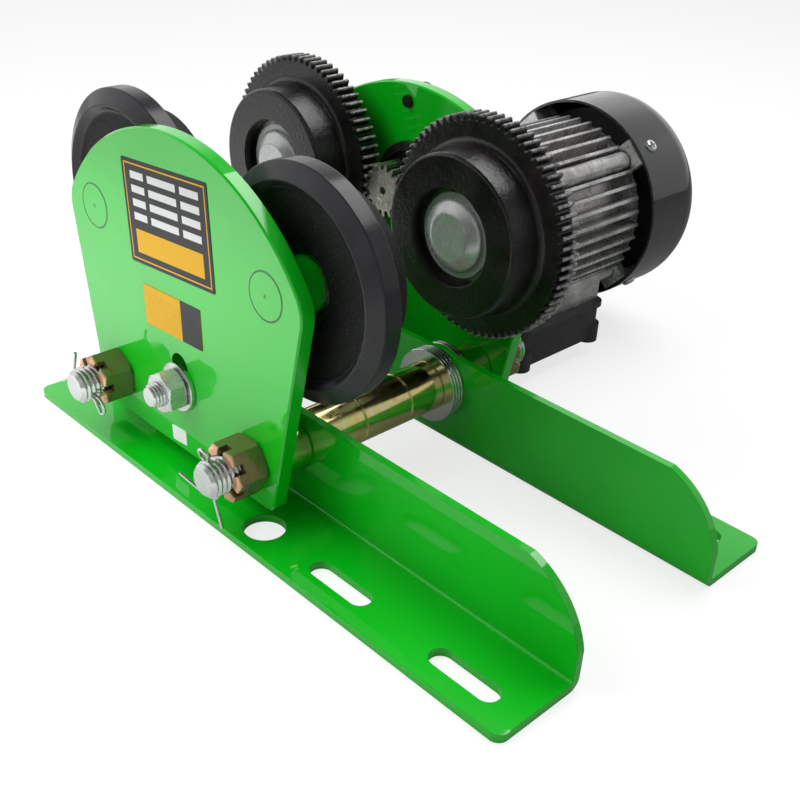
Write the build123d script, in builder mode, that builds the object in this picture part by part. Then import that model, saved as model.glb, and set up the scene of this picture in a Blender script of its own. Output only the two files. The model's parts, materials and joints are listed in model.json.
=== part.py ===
from build123d import *
import os
from math import acos, cos, pi, radians, sin, tan

os.makedirs("parts", exist_ok=True)

# Millimetres. X runs along the beam, Y across it towards the motor, Z up.
# The origin lies midway between the wheels, on the beam flange that their treads run on.

# Clearances
film = 0.05  # left between stacked pieces
fit = 0.05  # radial, between a shaft or spigot and its hole
rod_slack = 0.4  # radial, round the tie rods
seat_gap = 0.2  # between a cover and the ears inside it

# Wheels
axle_height = 120.0  # axles above the feet
tread_d = 80.0  # at the edge nearest the beam's web
tread_rise = 2.2  # radius gained across the tread
tread_round = 2.0
tread_root = 3.0
tread_blend = 0.8  # on the other turned edges
gear_module = 1.5
wheel_teeth = 72
gear_face = 11.0
gear_rim = 4.0  # inside the pitch circle
drive_tread_w = 18.5
drive_gap = 12.0  # wheel to far plate
idler_tread_w = 16.5
idler_flange_d = 107.0
idler_bevel_w = 4.3
idler_dish_d = 91.0
idler_dish = 3.5
idler_lip = 5.0
idler_gap = 6.0  # wheel to near plate

# Axles and wheel bearings
journal_d = 20.0
bearing_d = 47.0
bearing_w = 14.0
bearing_step_d = 29.0  # between the inner and outer ring
ring_proud = 0.5  # inner ring past the outer, each side
bearing_lip_d = 40.0
recess_d = 48.0
cap_d = 36.0
cap_flat_d = 29.0
cap_bevel = 2.0
cap_t = 5.5
cap_skin = 1.5
cap_spigot_d = 14.0
tab_washer_d = 42.0
tab_washer_t = 1.5
tab_notch = 4.0
notch_turns = {-1: 250.0, 1: 55.0}  # degrees, left and right axles
collar_d = 26.0
rivet_d = 22.0

# Pinion and gearbox
pinion_teeth = 17
pinion_face = 14.5
pinion_lead = 1.9  # behind the front of the wheel gears
centre_mark_d = 4.0
shoulder_d = 19.0
boss_d = 44.6
boss_proud = 3.0  # past the far plate
nose_bearing_d = 35.0
nose_bearing_w = 11.0
nose_journal_d = 15.0
nose_sink = 1.5
stage_module = 1.0
output_teeth = 60
motor_teeth = 15
output_face = 12.0
output_hub_d = 24.0
tail_bearing_d = 32.0
tail_bearing_w = 10.0
tail_journal_d = 12.0
key_w = 5.0
key_l = 10.0
key_sunk = 3.0  # depth in the shaft
gearbox_tilt = 7.2  # degrees, of the line from pinion to motor
gearbox_depth = 22.0
gearbox_wall = 4.0
gearbox_room = 1.5  # round the gears
lug_d = 16.0
lug_t = 5.0  # top lug only, the others run the full depth
lug_reach = 43.0  # upper lugs from the pinion axis
low_lug_gap = 7.5  # lower lugs outside the end shield
lug_angle = 75.0
screw_d = 6.0
screw_head_d = 9.0
screw_head_t = 5.0
screw_socket = 5.0
screw_tip = 2.0  # past the far plate

# Motor
shield_rim = 6.0  # outside the frame
shield_t = 14.0
closing_t = 5.0  # where the shield only closes the gearbox
tail_boss_wall = 4.0
tail_boss_end = 3.0
frame_d = 88.0
frame_wall = 5.5
frame_l = 92.5
fin_h = 8.0
fin_t = 2.0
fin_pitch = 9.0  # degrees
rib_d = 11.0
rib_stand = 4.5  # rib centres outside the frame
stator_wall = 13.45
stator_l = 60.0
winding_l = 12.0
winding_gap = 3.0  # inside the frame
air_gap = 0.4
rotor_seat_d = 18.0
rotor_bearing_d = 35.0
rotor_bearing_w = 11.0
rotor_journal_d = 15.0
rotor_tail_d = 12.0
rear_t = 6.0
rear_rim = 3.0  # outside the frame
rear_hub_d = 48.0
rear_hub_t = 14.0
ear_w = 16.0
ear_pocket = 0.8  # round the end of each rib
ear_pocket_t = 1.5
ear_post = 20.0
ear_post_t = 5.0
tie_d = 5.0
tie_head_d = 9.0
tie_head_t = 4.0
tie_bite = 9.0
cover_room = 17.0  # outside the frame
cover_wall = 1.5
cover_l = 53.0
cover_lap = 2.0  # cover front behind the frame's end
cover_round = 18.0
cover_screw_y = 12.0
cover_screw_d = 4.0
cover_screw_head_d = 8.0
cover_screw_head_t = 1.8
cover_screw_bite = 4.5
grille_inner = 13.0
grille_outer = 27.0
grille_l = 11.0
grille_w = 3.5
grille_inner_count = 8
grille_outer_count = 18
fan_gap = 6.0  # inside the cover
fan_hub_d = 24.0
fan_t = 2.0
fan_blade_w = 18.0
fan_blades = 8
fan_room = 7.0  # behind the rear hub

# Terminal box
pad_stand = 2.5  # pad face below the frame
pad_w = 84.0
pad_rise = 18.0
box_w = 92.0
box_l = 74.0
box_h = 20.0
box_wall = 2.5
box_round = 6.0
box_lip = 2.0
box_lip_t = 3.0
box_shield_gap = 0.5  # behind the front shield
lid_t = 4.0
lobe_d = 14.0
lobe_h = 5.0
lobe_inset = 5.0
lobe_drop = 2.5  # lid lobes below the lid
lid_screw_d = 3.6
lid_screw_head_d = 7.0
lid_screw_head_t = 2.4
lid_screw_bite = 4.0
gland_d = 12.0
gland_af = 15.0
gland_hex_t = 5.0
gland_dome_d = 14.0
gland_dome_l = 11.0
gland_bore_d = 6.5
gland_nut_t = 4.0
gland_tail = 1.5
terminal_l = 44.0
terminal_w = 16.0
terminal_h = 12.0
capacitor_d = 15.0
capacitor_l = 55.0

# Side plates
plate_t = 8.0
plate_bottom = 12.0  # above the feet
plate_bottom_w = 142.0
plate_shoulder_w = 182.0
plate_top = 52.0  # above the axles
plate_corner_r = 6.0
plate_shoulder_r = 18.0
plate_edge = 0.8

# Angle brackets
leg_w = 47.5
leg_h = 51.0
leg_t = 4.0
bend_r = 1.5  # inside the fold
bracket_back = 113.2
bracket_front = 226.8
end_run = 29.0  # arched end of the upright leg, along it
end_low = 19.5  # foot to the arch
end_r = 43.0
foot_corner_r = 5.0
hoist_hole_d = 20.0
hoist_hole_x = 68.0
hoist_slot_w = 11.0
hoist_slot_l = 36.0
hoist_slot_x = 121.0
hoist_slot_pitch = 74.0
hoist_line = 32.5  # holes from the back of the angle

# Tie rods and what is threaded on them
rod_d = 18.0
rod_x = 55.0
rod_height = 33.0
rod_end = 27.0  # past the side plate
rod_chamfer = 2.0
nut_af = 27.0
nut_body = 11.5
nut_crown_d = 25.0
nut_crown = 5.5
nut_slot_w = 4.5
nut_slots = 6
hex_break = 0.5  # end circles inside the flats
cotter_d = 3.6
cotter_gap = 4.2  # pin axis past the nut
cotter_eye_d = 8.5
cotter_eye_hole = 3.6
cotter_leg_d = 2.4
cotter_leg = 17.0
cotter_spread = 24.0  # degrees
cotter_turns = {-1: 150.0, 1: -20.0}  # lean of the pin on the left and right rod
tube_d = 26.5
tube_long = 30.5
tube_short = 23.0
tube_break = 0.7  # outer edges
washer_d = 40.0
washer_t = 2.0
washer_break = 0.4
washer_count = 4
near_sleeve = 18.0
far_sleeve = 20.5
far_washer_count = 2

# Centre bolt of the near plate
bolt_d = 12.0
bolt_height = 48.5
bolt_slot = 16.0  # travel between slot centres
bolt_slot_low = 5.0  # of that travel below the bolt
bolt_nut_af = 19.0
bolt_nut_t = 10.0
bolt_head_t = 7.5
bolt_end = 5.5
bolt_washer_d = 25.0
bolt_washer_t = 2.5

# Heights
axle_z = tread_d / 2
foot_z = axle_z - axle_height
rod_z = foot_z + rod_height
bolt_z = foot_z + bolt_height
plate_low_z = foot_z + plate_bottom
plate_top_z = axle_z + plate_top

# Stations along the beam
axle_x = gear_module * (wheel_teeth + pinion_teeth) / 2
stage_reach = stage_module * (output_teeth + motor_teeth) / 2
motor_x = stage_reach * sin(radians(gearbox_tilt))
motor_z = axle_z - stage_reach * cos(radians(gearbox_tilt))

# Stations across the beam
leg_face = (2 * tube_long + tube_short + washer_count * washer_t) / 2
near_inner = -(leg_face + leg_t + near_sleeve)
near_outer = near_inner - plate_t
far_inner = leg_face + leg_t + far_sleeve + far_washer_count * washer_t
far_outer = far_inner + plate_t
gearbox_rear = far_outer + gearbox_depth
frame_front = gearbox_rear + shield_t
frame_rear = frame_front + frame_l
cover_front = frame_rear + cover_lap
cover_rear = cover_front + cover_l

# Motor sizes that follow its frame
frame_bore_d = frame_d - 2 * frame_wall
fin_d = frame_d + 2 * fin_h
rib_reach = frame_d / 2 + rib_stand
shield_d = frame_d + 2 * shield_rim
rear_d = frame_d + 2 * rear_rim
cover_d = frame_d + 2 * cover_room
fan_d = cover_d - 2 * (cover_wall + fan_gap)
low_lug_reach = shield_d / 2 + low_lug_gap

# Bearing stack inside each wheel, as depths from the face nearest the beam's web
washer_s = cap_t
ring_s = washer_s + tab_washer_t
seat_s = ring_s + ring_proud
seat_end_s = seat_s + bearing_w
collar_s = seat_end_s + ring_proud
idler_web_s = seat_end_s + idler_lip
idler_w = idler_web_s + idler_dish
drive_w = drive_tread_w + gear_face
idler_face = near_inner + idler_gap + idler_w
drive_face = far_inner - drive_gap - drive_w

rod_centres = [(-rod_x, rod_z), (rod_x, rod_z)]
rod_hole_r = rod_d / 2 + rod_slack
axle_centres = [(-axle_x, axle_z), (axle_x, axle_z)]
sides = {"left": -1, "right": 1}
near_side = -1
far_side = 1


def cross_plane(y):
    """Plane across the axles at y, facing the near side: local x is X and local y is Z."""
    return Plane.XZ.offset(-y)


def axial_plane(x, z):
    """Upright plane through an axle: local x is Y along the axle and local y is the radius."""
    return Plane(origin=(x, 0, z), x_dir=(0, 1, 0), z_dir=(1, 0, 0))


def axle_line(x, z):
    return Axis((x, 0, z), (0, 1, 0))


def slice_between(y_a, y_b):
    """Sketch plane and depth of a slice between two stations across the beam."""
    return cross_plane(max(y_a, y_b)), abs(y_b - y_a)


def save(part, name):
    part.label = name
    export_step(part, f"parts/{name}.step")


def gear_outline(x, z, module, teeth, turn):
    """Spur gear outline, with each involute flank drawn through its root, pitch and tip points."""
    pressure = radians(20)
    backlash = 0.08 * module
    pitch_r = module * teeth / 2
    base_r = pitch_r * cos(pressure)
    radii = (pitch_r - 1.25 * module, pitch_r, pitch_r + module)
    pitch_half = pi / (2 * teeth) - backlash / (2 * pitch_r) + tan(pressure) - pressure
    points = []
    for tooth in range(teeth):
        middle = radians(turn) + 2 * pi * tooth / teeth
        for side, order in ((-1, radii), (1, radii[::-1])):
            for radius in order:
                roll = acos(min(1.0, base_r / radius))
                angle = middle + side * (pitch_half - tan(roll) + roll)
                points.append((x + radius * cos(angle), z + radius * sin(angle)))
    return points


def turned(x, z, profile):
    """Solid turned about an axle from points of station and radius, each with its corner radius."""
    with BuildPart() as body:
        with BuildSketch(axial_plane(x, z)):
            with BuildLine():
                points = [(y, r) for y, r, c in profile]
                FilletPolyline(*points, radius=[c for y, r, c in profile], close=True)
            make_face()
        revolve(axis=axle_line(x, z))
    return body.part


def rings(y_a, y_b, centres, outer_r, inner_r, broken=0):
    """Plain rings, one on each centre, between two stations."""
    plane, depth = slice_between(y_a, y_b)
    with BuildPart() as group:
        with BuildSketch(plane):
            with Locations(*centres):
                Circle(outer_r)
                Circle(inner_r, mode=Mode.SUBTRACT)
        extrude(amount=depth)
        if broken:
            chamfer(group.edges().filter_by(GeomType.CIRCLE).group_by(SortBy.RADIUS)[-1], broken)
    return group.part


def hexagon(x, z, y_a, y_b, across):
    """Hexagon across flats between two stations, with its corners turned back at both ends."""
    plane, depth = slice_between(y_a, y_b)
    corner_r = across / 3**0.5
    end_r = across / 2 - hex_break
    with BuildPart() as body:
        with BuildSketch(plane):
            with Locations((x, z)):
                RegularPolygon(corner_r, 6, rotation=30)
        extrude(amount=depth)
        low, high = min(y_a, y_b), max(y_a, y_b)
        slope = (corner_r - end_r) * tan(radians(30))
        ends = [(low, 0, 0), (low, end_r, 0), (low + slope, corner_r, 0)]
        ends += [(high - slope, corner_r, 0), (high, end_r, 0), (high, 0, 0)]
        add(turned(x, z, ends), mode=Mode.INTERSECT)
    return body.part


def side_plate(y_a, y_b, holes):
    """Arched plate with tapered sides, broken edges and round holes given as x, z and radius."""
    plane, depth = slice_between(y_a, y_b)
    shoulder = plate_shoulder_w / 2
    bottom = plate_bottom_w / 2
    with BuildPart() as plate:
        with BuildSketch(plane) as outline:
            with BuildLine():
                low_edge = [(-bottom, plate_low_z), (bottom, plate_low_z)]
                Polyline((-shoulder, axle_z), *low_edge, (shoulder, axle_z))
                ThreePointArc((shoulder, axle_z), (0, plate_top_z), (-shoulder, axle_z))
            make_face()
            fillet(outline.vertices().group_by(Axis.Y)[0], plate_corner_r)
            fillet(outline.vertices().group_by(Axis.Y)[-1], plate_shoulder_r)
        extrude(amount=depth)
        faces = plate.faces().sort_by(Axis.Y)
        chamfer(faces[0].edges() + faces[-1].edges(), plate_edge)
        with BuildSketch(plane):
            for x, z, radius in holes:
                with Locations((x, z)):
                    Circle(radius)
        extrude(amount=depth, mode=Mode.SUBTRACT)
    return plate.part


def angle_bracket(side):
    """Folded angle: upright leg towards the beam, slotted foot leg outwards, arched front end."""
    back = side * leg_face
    upright = back + side * leg_t
    toe = back + side * leg_w
    floor_z = foot_z + leg_t
    top_z = foot_z + leg_h
    line_y = back + side * hoist_line
    plane, depth = slice_between(back, upright)
    with BuildPart() as bracket:
        with BuildSketch(Plane.YZ.offset(-bracket_back)):
            with BuildLine():
                foot = [(back, foot_z), (toe, foot_z), (toe, floor_z)]
                leg = [(upright, floor_z), (upright, top_z), (back, top_z)]
                FilletPolyline(*foot, *leg, radius=[bend_r + leg_t, 0, 0, bend_r, 0, 0], close=True)
            make_face()
        extrude(amount=bracket_back + bracket_front)
        fillet(bracket.edges().filter_by(Axis.Z).group_by(Axis.Y)[0 if side < 0 else -1], foot_corner_r)
        with BuildSketch(plane):
            with BuildLine():
                arch_top = (bracket_front - end_run, top_z)
                arch_low = (bracket_front, foot_z + end_low)
                RadiusArc(arch_top, arch_low, end_r)
                Polyline(arch_low, (bracket_front, top_z), arch_top)
            make_face()
            with Locations(*rod_centres):
                Circle(rod_hole_r)
        extrude(amount=depth, mode=Mode.SUBTRACT)
        with BuildSketch(Plane.XY.offset(foot_z)):
            with Locations((hoist_hole_x, line_y)):
                Circle(hoist_hole_d / 2)
            with Locations((hoist_slot_x, line_y), (hoist_slot_x + hoist_slot_pitch, line_y)):
                SlotOverall(hoist_slot_l, hoist_slot_w)
        extrude(amount=leg_t, mode=Mode.SUBTRACT)
    return bracket.part


# Gearbox stations, from the far plate towards the motor
boss_front = far_inner - boss_proud
nose_front = boss_front + nose_sink
nose_rear = nose_front + nose_bearing_w
gear_front = drive_face + drive_tread_w
pinion_front = gear_front + pinion_lead
pinion_rear = pinion_front + pinion_face
output_front = far_outer + gearbox_wall + gearbox_room
output_rear = output_front + output_face
output_tip_r = stage_module * (output_teeth / 2 + 1)
motor_tip_r = stage_module * (motor_teeth / 2 + 1)
gearbox_r = output_tip_r + gearbox_room + gearbox_wall
gearbox_low_r = motor_tip_r + gearbox_room + gearbox_wall
pinion_centre = (0, axle_z)
motor_centre = (motor_x, motor_z)
mesh_angle = gearbox_tilt - 90


def polar(centre, radius, angle):
    """Point at a radius and angle from a centre, across the axles."""
    return (centre[0] + radius * cos(radians(angle)), centre[1] + radius * sin(radians(angle)))


top_lug = polar(pinion_centre, lug_reach, mesh_angle + 180)
upper_lugs = [polar(pinion_centre, lug_reach, mesh_angle + 180 + lean) for lean in (-lug_angle, lug_angle)]
low_lugs = [polar(motor_centre, low_lug_reach, mesh_angle + lean) for lean in (-lug_angle, lug_angle)]
long_lugs = upper_lugs + low_lugs

# Side plates
axle_holes = [(x, z, rivet_d / 2 + fit) for x, z in axle_centres]
rod_holes = [(x, z, rod_hole_r) for x, z in rod_centres]
boss_hole = [(0, axle_z, boss_d / 2 + fit)]
lug_holes = [(x, z, screw_d / 2 + fit) for x, z in (top_lug, *long_lugs)]
near_plate_blank = side_plate(near_outer, near_inner, axle_holes + rod_holes)
with BuildPart() as near_side_plate:
    add(near_plate_blank)
    with BuildSketch(cross_plane(near_inner)):
        with Locations((0, bolt_z - bolt_slot_low + bolt_slot / 2)):
            SlotCenterToCenter(bolt_slot, bolt_d + 2 * rod_slack, rotation=90)
    extrude(amount=plate_t, mode=Mode.SUBTRACT)
save(near_side_plate.part, "near_side_plate")
save(side_plate(far_inner, far_outer, axle_holes + rod_holes + boss_hole + lug_holes), "far_side_plate")

# Angle brackets
save(angle_bracket(near_side), "near_angle_bracket")
save(angle_bracket(far_side), "far_angle_bracket")

# Tie rods, drilled for their cotter pins
near_pin_y = near_outer - nut_body - nut_crown - cotter_gap
far_pin_y = far_outer + nut_body + nut_crown + cotter_gap


def pin_plane(x, y, turn):
    """Plane square to a cotter pin whose shank leans by turn degrees from upright."""
    lean = radians(turn)
    return Plane(origin=(x, y, rod_z), x_dir=(cos(lean), 0, -sin(lean)), z_dir=(sin(lean), 0, cos(lean)))


for side_name, side in sides.items():
    plane, depth = slice_between(near_outer - rod_end, far_outer + rod_end)
    with BuildPart() as tie_rod:
        with BuildSketch(plane):
            with Locations((side * rod_x, rod_z)):
                Circle(rod_d / 2)
        extrude(amount=depth)
        chamfer(tie_rod.edges().filter_by(GeomType.CIRCLE), rod_chamfer)
        for pin_y in (near_pin_y, far_pin_y):
            with BuildSketch(pin_plane(side * rod_x, pin_y, cotter_turns[side])):
                Circle(cotter_d / 2 + fit)
            extrude(amount=rod_d, both=True, mode=Mode.SUBTRACT)
    save(tie_rod.part, f"tie_rod_{side_name}")


# Castle nuts, each with a slotted crown
def castle_nut(x, seat, out):
    shelf = seat + out * nut_body
    top = shelf + out * nut_crown
    crown_plane, crown_depth = slice_between(shelf, top)
    bore_plane, bore_depth = slice_between(seat, top)
    body = hexagon(x, rod_z, seat, shelf, nut_af)
    with BuildPart() as nut:
        add(body)
        with BuildSketch(crown_plane):
            with Locations((x, rod_z)):
                Circle(nut_crown_d / 2)
                with PolarLocations(nut_crown_d / 2, nut_slots, start_angle=30):
                    Rectangle(nut_crown_d, nut_slot_w, mode=Mode.SUBTRACT)
        extrude(amount=crown_depth)
        with BuildSketch(bore_plane):
            with Locations((x, rod_z)):
                Circle(rod_d / 2 + fit)
        extrude(amount=bore_depth, mode=Mode.SUBTRACT)
    return nut.part


with BuildPart() as castle_nuts:
    for x, z in rod_centres:
        add(castle_nut(x, near_outer, near_side))
        add(castle_nut(x, far_outer, far_side))
save(castle_nuts.part, "castle_nuts")


# Split cotter pins, with the eye at one end and the two legs spread at the other
def cotter_pin(plane):
    shank = rod_d / 2 + cotter_d / 2
    eye_z = rod_d / 2 + cotter_eye_d / 2 + rod_slack
    with BuildPart(plane) as pin:
        Cylinder(cotter_d / 2, 2 * shank)
        with Locations(Location((0, 0, eye_z), (90, 0, 0))):
            Cylinder(cotter_eye_d / 2, cotter_leg_d)
            Cylinder(cotter_eye_hole / 2, cotter_leg_d, mode=Mode.SUBTRACT)
        for spread in (-cotter_spread, cotter_spread):
            with Locations(Location((0, 0, -shank + cotter_d / 4), (0, spread, 0))):
                Cylinder(cotter_leg_d / 2, cotter_leg, align=(Align.CENTER, Align.CENTER, Align.MAX))
    return pin.part


with BuildPart() as cotter_pins:
    for side in sides.values():
        for pin_y in (near_pin_y, far_pin_y):
            add(cotter_pin(pin_plane(side * rod_x, pin_y, cotter_turns[side])))
save(cotter_pins.part, "cotter_pins")

# Spacer tubes between the brackets, in three lengths on each rod
tube_starts = (-leg_face, -leg_face + tube_long, -leg_face + 2 * tube_long)
with BuildPart() as spacer_tubes:
    for start, length in zip(tube_starts, (tube_long, tube_long, tube_short)):
        add(rings(start, start + length - film, rod_centres, tube_d / 2, rod_hole_r, tube_break))
save(spacer_tubes.part, "spacer_tubes")

# Washers that set the width, inside the far bracket and outside it
inside_starts = [leg_face - (step + 1) * washer_t for step in range(washer_count)]
outside_starts = [leg_face + leg_t + step * washer_t for step in range(far_washer_count)]
with BuildPart() as spacer_washers:
    for start in inside_starts + outside_starts:
        add(rings(start, start + washer_t - film, rod_centres, washer_d / 2, rod_hole_r, washer_break))
save(spacer_washers.part, "spacer_washers")

# Sleeves between each bracket and its side plate
with BuildPart() as rod_sleeves:
    add(rings(near_inner, near_inner + near_sleeve, rod_centres, tube_d / 2, rod_hole_r, tube_break))
    add(rings(far_inner - far_sleeve, far_inner, rod_centres, tube_d / 2, rod_hole_r, tube_break))
save(rod_sleeves.part, "rod_sleeves")

# Centre bolt, its nut and its two washers
bolt_inner = near_inner + bolt_washer_t
bolt_nut_seat = near_outer - bolt_washer_t
bolt_tip = bolt_nut_seat - bolt_nut_t - bolt_end
bolt_head = hexagon(0, bolt_z, bolt_inner, bolt_inner + bolt_head_t, bolt_nut_af)
nut_blank = hexagon(0, bolt_z, bolt_nut_seat - bolt_nut_t, bolt_nut_seat, bolt_nut_af)
with BuildPart() as centre_bolt:
    with BuildSketch(cross_plane(bolt_inner)):
        with Locations((0, bolt_z)):
            Circle(bolt_d / 2)
    extrude(amount=bolt_inner - bolt_tip)
    chamfer(centre_bolt.edges().group_by(Axis.Y)[0], bolt_d / 12)
    add(bolt_head)
save(centre_bolt.part, "centre_bolt")
with BuildPart() as centre_nut:
    add(nut_blank)
    with BuildSketch(cross_plane(bolt_nut_seat)):
        with Locations((0, bolt_z)):
            Circle(bolt_d / 2 + fit)
    extrude(amount=bolt_nut_t, mode=Mode.SUBTRACT)
save(centre_nut.part, "centre_nut")
bolt_centre = [(0, bolt_z)]
with BuildPart() as centre_washers:
    for face, seat in ((near_outer, bolt_nut_seat), (near_inner, bolt_inner)):
        add(rings(face, seat, bolt_centre, bolt_washer_d / 2, bolt_d / 2 + fit, washer_break))
save(centre_washers.part, "centre_washers")


# Wheels, their axles and bearings
def wheel_stations(face, inward, *depths):
    """Stations at depths from a wheel's face, measured towards its side plate."""
    return [face + inward * depth for depth in depths]


def bore_profile(face, inward, back_s):
    """Stepped bore of a wheel, from its back through the lip and bearing seat to the front recess."""
    back, seat_end, seat, front = wheel_stations(face, inward, back_s, seat_end_s, seat_s, 0)
    lip_r = bearing_lip_d / 2
    seat_r = bearing_d / 2 + fit
    recess_r = recess_d / 2
    return [
        (back, lip_r, 0),
        (seat_end, lip_r, 0),
        (seat_end, seat_r, 0),
        (seat, seat_r, 0),
        (seat, recess_r, 0),
        (front, recess_r, tread_blend),
    ]


def idler_wheel(x):
    stations = (0, idler_tread_w, idler_w - idler_bevel_w, idler_w, idler_web_s)
    front, root, rim, back, web = wheel_stations(idler_face, near_side, *stations)
    flange_r = idler_flange_d / 2
    dish_r = idler_dish_d / 2
    profile = [
        (front, tread_d / 2, tread_round),
        (root, tread_d / 2 + tread_rise, tread_root),
        (root, flange_r, tread_blend),
        (rim, flange_r, tread_blend),
        (back, dish_r, tread_blend),
        (web, dish_r - idler_dish, tread_root),
        *bore_profile(idler_face, near_side, idler_web_s),
    ]
    return turned(x, axle_z, profile)


def drive_wheel(x, turn):
    front, root, back = wheel_stations(drive_face, far_side, 0, drive_tread_w, drive_w)
    blank_r = gear_module * wheel_teeth / 2 - gear_rim
    hub_profile = [
        (front, tread_d / 2, tread_round),
        (root, tread_d / 2 + tread_rise, tread_root),
        (root, blank_r, 0),
        (back, blank_r, 0),
        *bore_profile(drive_face, far_side, drive_w),
    ]
    hub = turned(x, axle_z, hub_profile)
    with BuildPart() as wheel:
        with BuildSketch(cross_plane(back)):
            with BuildLine():
                Polyline(*gear_outline(x, axle_z, gear_module, wheel_teeth, turn), close=True)
            make_face()
            with Locations((x, axle_z)):
                Circle(blank_r, mode=Mode.SUBTRACT)
        extrude(amount=gear_face)
        add(hub)
    return wheel.part


def wheel_axle(x, face, inward, inner, outer):
    tip, journal, collar = wheel_stations(face, inward, cap_skin, cap_t, collar_s)
    radii = (cap_spigot_d / 2, journal_d / 2, collar_d / 2, rivet_d / 2)
    stations = ((tip, journal), (journal, collar), (collar, inner), (inner, outer))
    profile = [(tip, 0, 0)]
    for radius, (start, end) in zip(radii, stations):
        profile += [(start, radius, 0), (end, radius, 0)]
    return turned(x, axle_z, [*profile, (outer, 0, 0)])


def end_cap(x, face, inward):
    front, bevel, skin, back = wheel_stations(face, inward, 0, cap_bevel, cap_skin, cap_t)
    bore_r = cap_spigot_d / 2 + fit
    profile = [
        (front, 0, 0),
        (front, cap_flat_d / 2, tread_blend),
        (bevel, cap_d / 2, tread_blend),
        (back, cap_d / 2, 0),
        (back, bore_r, 0),
        (skin, bore_r, 0),
        (skin, 0, 0),
    ]
    return turned(x, axle_z, profile)


half_pitch = 180 / wheel_teeth
gear_turns = {"left": 0, "right": half_pitch}
step_r = bearing_step_d / 2
for side_name, side in sides.items():
    x = side * axle_x
    save(idler_wheel(x), f"idler_wheel_{side_name}")
    save(drive_wheel(x, gear_turns[side_name]), f"drive_wheel_{side_name}")
    save(wheel_axle(x, idler_face, near_side, near_inner, near_outer), f"idler_axle_{side_name}")
    save(wheel_axle(x, drive_face, far_side, far_inner, far_outer), f"drive_axle_{side_name}")
    for kind, face, inward in (("idler", idler_face, near_side), ("drive", drive_face, far_side)):
        start, end = wheel_stations(face, inward, seat_s, seat_end_s)
        ring = rings(start, end, [(x, axle_z)], bearing_d / 2, step_r + fit)
        save(ring, f"{kind}_{side_name}_bearing_ring")

with BuildPart() as inner_rings:
    for face, inward in ((idler_face, near_side), (drive_face, far_side)):
        add(rings(*wheel_stations(face, inward, ring_s, collar_s), axle_centres, step_r, journal_d / 2 + fit))
save(inner_rings.part, "wheel_bearing_inner_rings")

with BuildPart() as axle_end_caps:
    for x, z in axle_centres:
        for face, inward in ((idler_face, near_side), (drive_face, far_side)):
            add(end_cap(x, face, inward))
save(axle_end_caps.part, "axle_end_caps")

with BuildPart() as tab_washers:
    for face, inward in ((idler_face, near_side), (drive_face, far_side)):
        plane, depth = slice_between(*wheel_stations(face, inward, washer_s, ring_s))
        with BuildSketch(plane):
            for side, turn in notch_turns.items():
                with Locations((side * axle_x, axle_z)):
                    Circle(tab_washer_d / 2)
                    Circle(journal_d / 2 + fit, mode=Mode.SUBTRACT)
                with Locations(polar((side * axle_x, axle_z), tab_washer_d / 2, turn)):
                    Rectangle(tab_notch, tab_notch, rotation=turn, mode=Mode.SUBTRACT)
        extrude(amount=depth)
save(tab_washers.part, "axle_tab_washers")

# Pinion shaft, with its teeth in mesh with both wheel gears
nose_r = nose_journal_d / 2
tail_r = tail_journal_d / 2
tail_rear = gearbox_rear + tail_bearing_w
shaft_profile = [
    (pinion_rear, 0, 0),
    (pinion_rear, shoulder_d / 2, 0),
    (nose_front, shoulder_d / 2, 0),
    (nose_front, nose_r, 0),
    (output_rear, nose_r, 0),
    (output_rear, tail_r, 0),
    (tail_rear, tail_r, 0),
    (tail_rear, 0, 0),
]
key_front = (output_front + output_rear - key_l) / 2
key_low = nose_r - key_sunk
shaft_blank = turned(0, axle_z, shaft_profile)
mark_end = pinion_front + centre_mark_d
mark_profile = [(pinion_front, 0, 0), (pinion_front, centre_mark_d / 2, 0), (mark_end, 0, 0)]
centre_mark = turned(0, axle_z, mark_profile)
with BuildPart() as pinion_shaft:
    with BuildSketch(cross_plane(pinion_rear)):
        with BuildLine():
            Polyline(*gear_outline(0, axle_z, gear_module, pinion_teeth, 0), close=True)
        make_face()
    extrude(amount=pinion_face)
    add(shaft_blank)
    add(centre_mark, mode=Mode.SUBTRACT)
    with BuildSketch(cross_plane(key_front + key_l)):
        with Locations((0, axle_z + key_low)):
            Rectangle(key_w, key_sunk + fit, align=(Align.CENTER, Align.MIN))
    extrude(amount=key_l, mode=Mode.SUBTRACT)
save(pinion_shaft.part, "pinion_shaft")
with BuildPart() as output_key:
    with BuildSketch(cross_plane(key_front + key_l)):
        with Locations((0, axle_z + key_low)):
            Rectangle(key_w, key_w, align=(Align.CENTER, Align.MIN))
    extrude(amount=key_l)
save(output_key.part, "output_key")
with BuildPart() as output_gear:
    with BuildSketch(cross_plane(output_rear)):
        with BuildLine():
            Polyline(*gear_outline(0, axle_z, stage_module, output_teeth, mesh_angle), close=True)
        make_face()
    extrude(amount=output_face)
    with BuildSketch(cross_plane(output_front)):
        with Locations(pinion_centre):
            Circle(output_hub_d / 2)
    extrude(amount=output_front - nose_rear)
    with BuildSketch(cross_plane(output_rear)):
        with Locations(pinion_centre):
            Circle(nose_r + fit)
        with Locations((0, axle_z)):
            Rectangle(key_w, key_low + key_w + fit, align=(Align.CENTER, Align.MIN))
    extrude(amount=output_rear - nose_rear, mode=Mode.SUBTRACT)
save(output_gear.part, "output_gear")


# Shaft bearings, each as an inner ring on its shaft and an outer ring in its housing
def ring_step(outer_d, journal_d):
    """Radius where a bearing's inner and outer ring meet."""
    return (outer_d + 2 * journal_d) / 6


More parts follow.
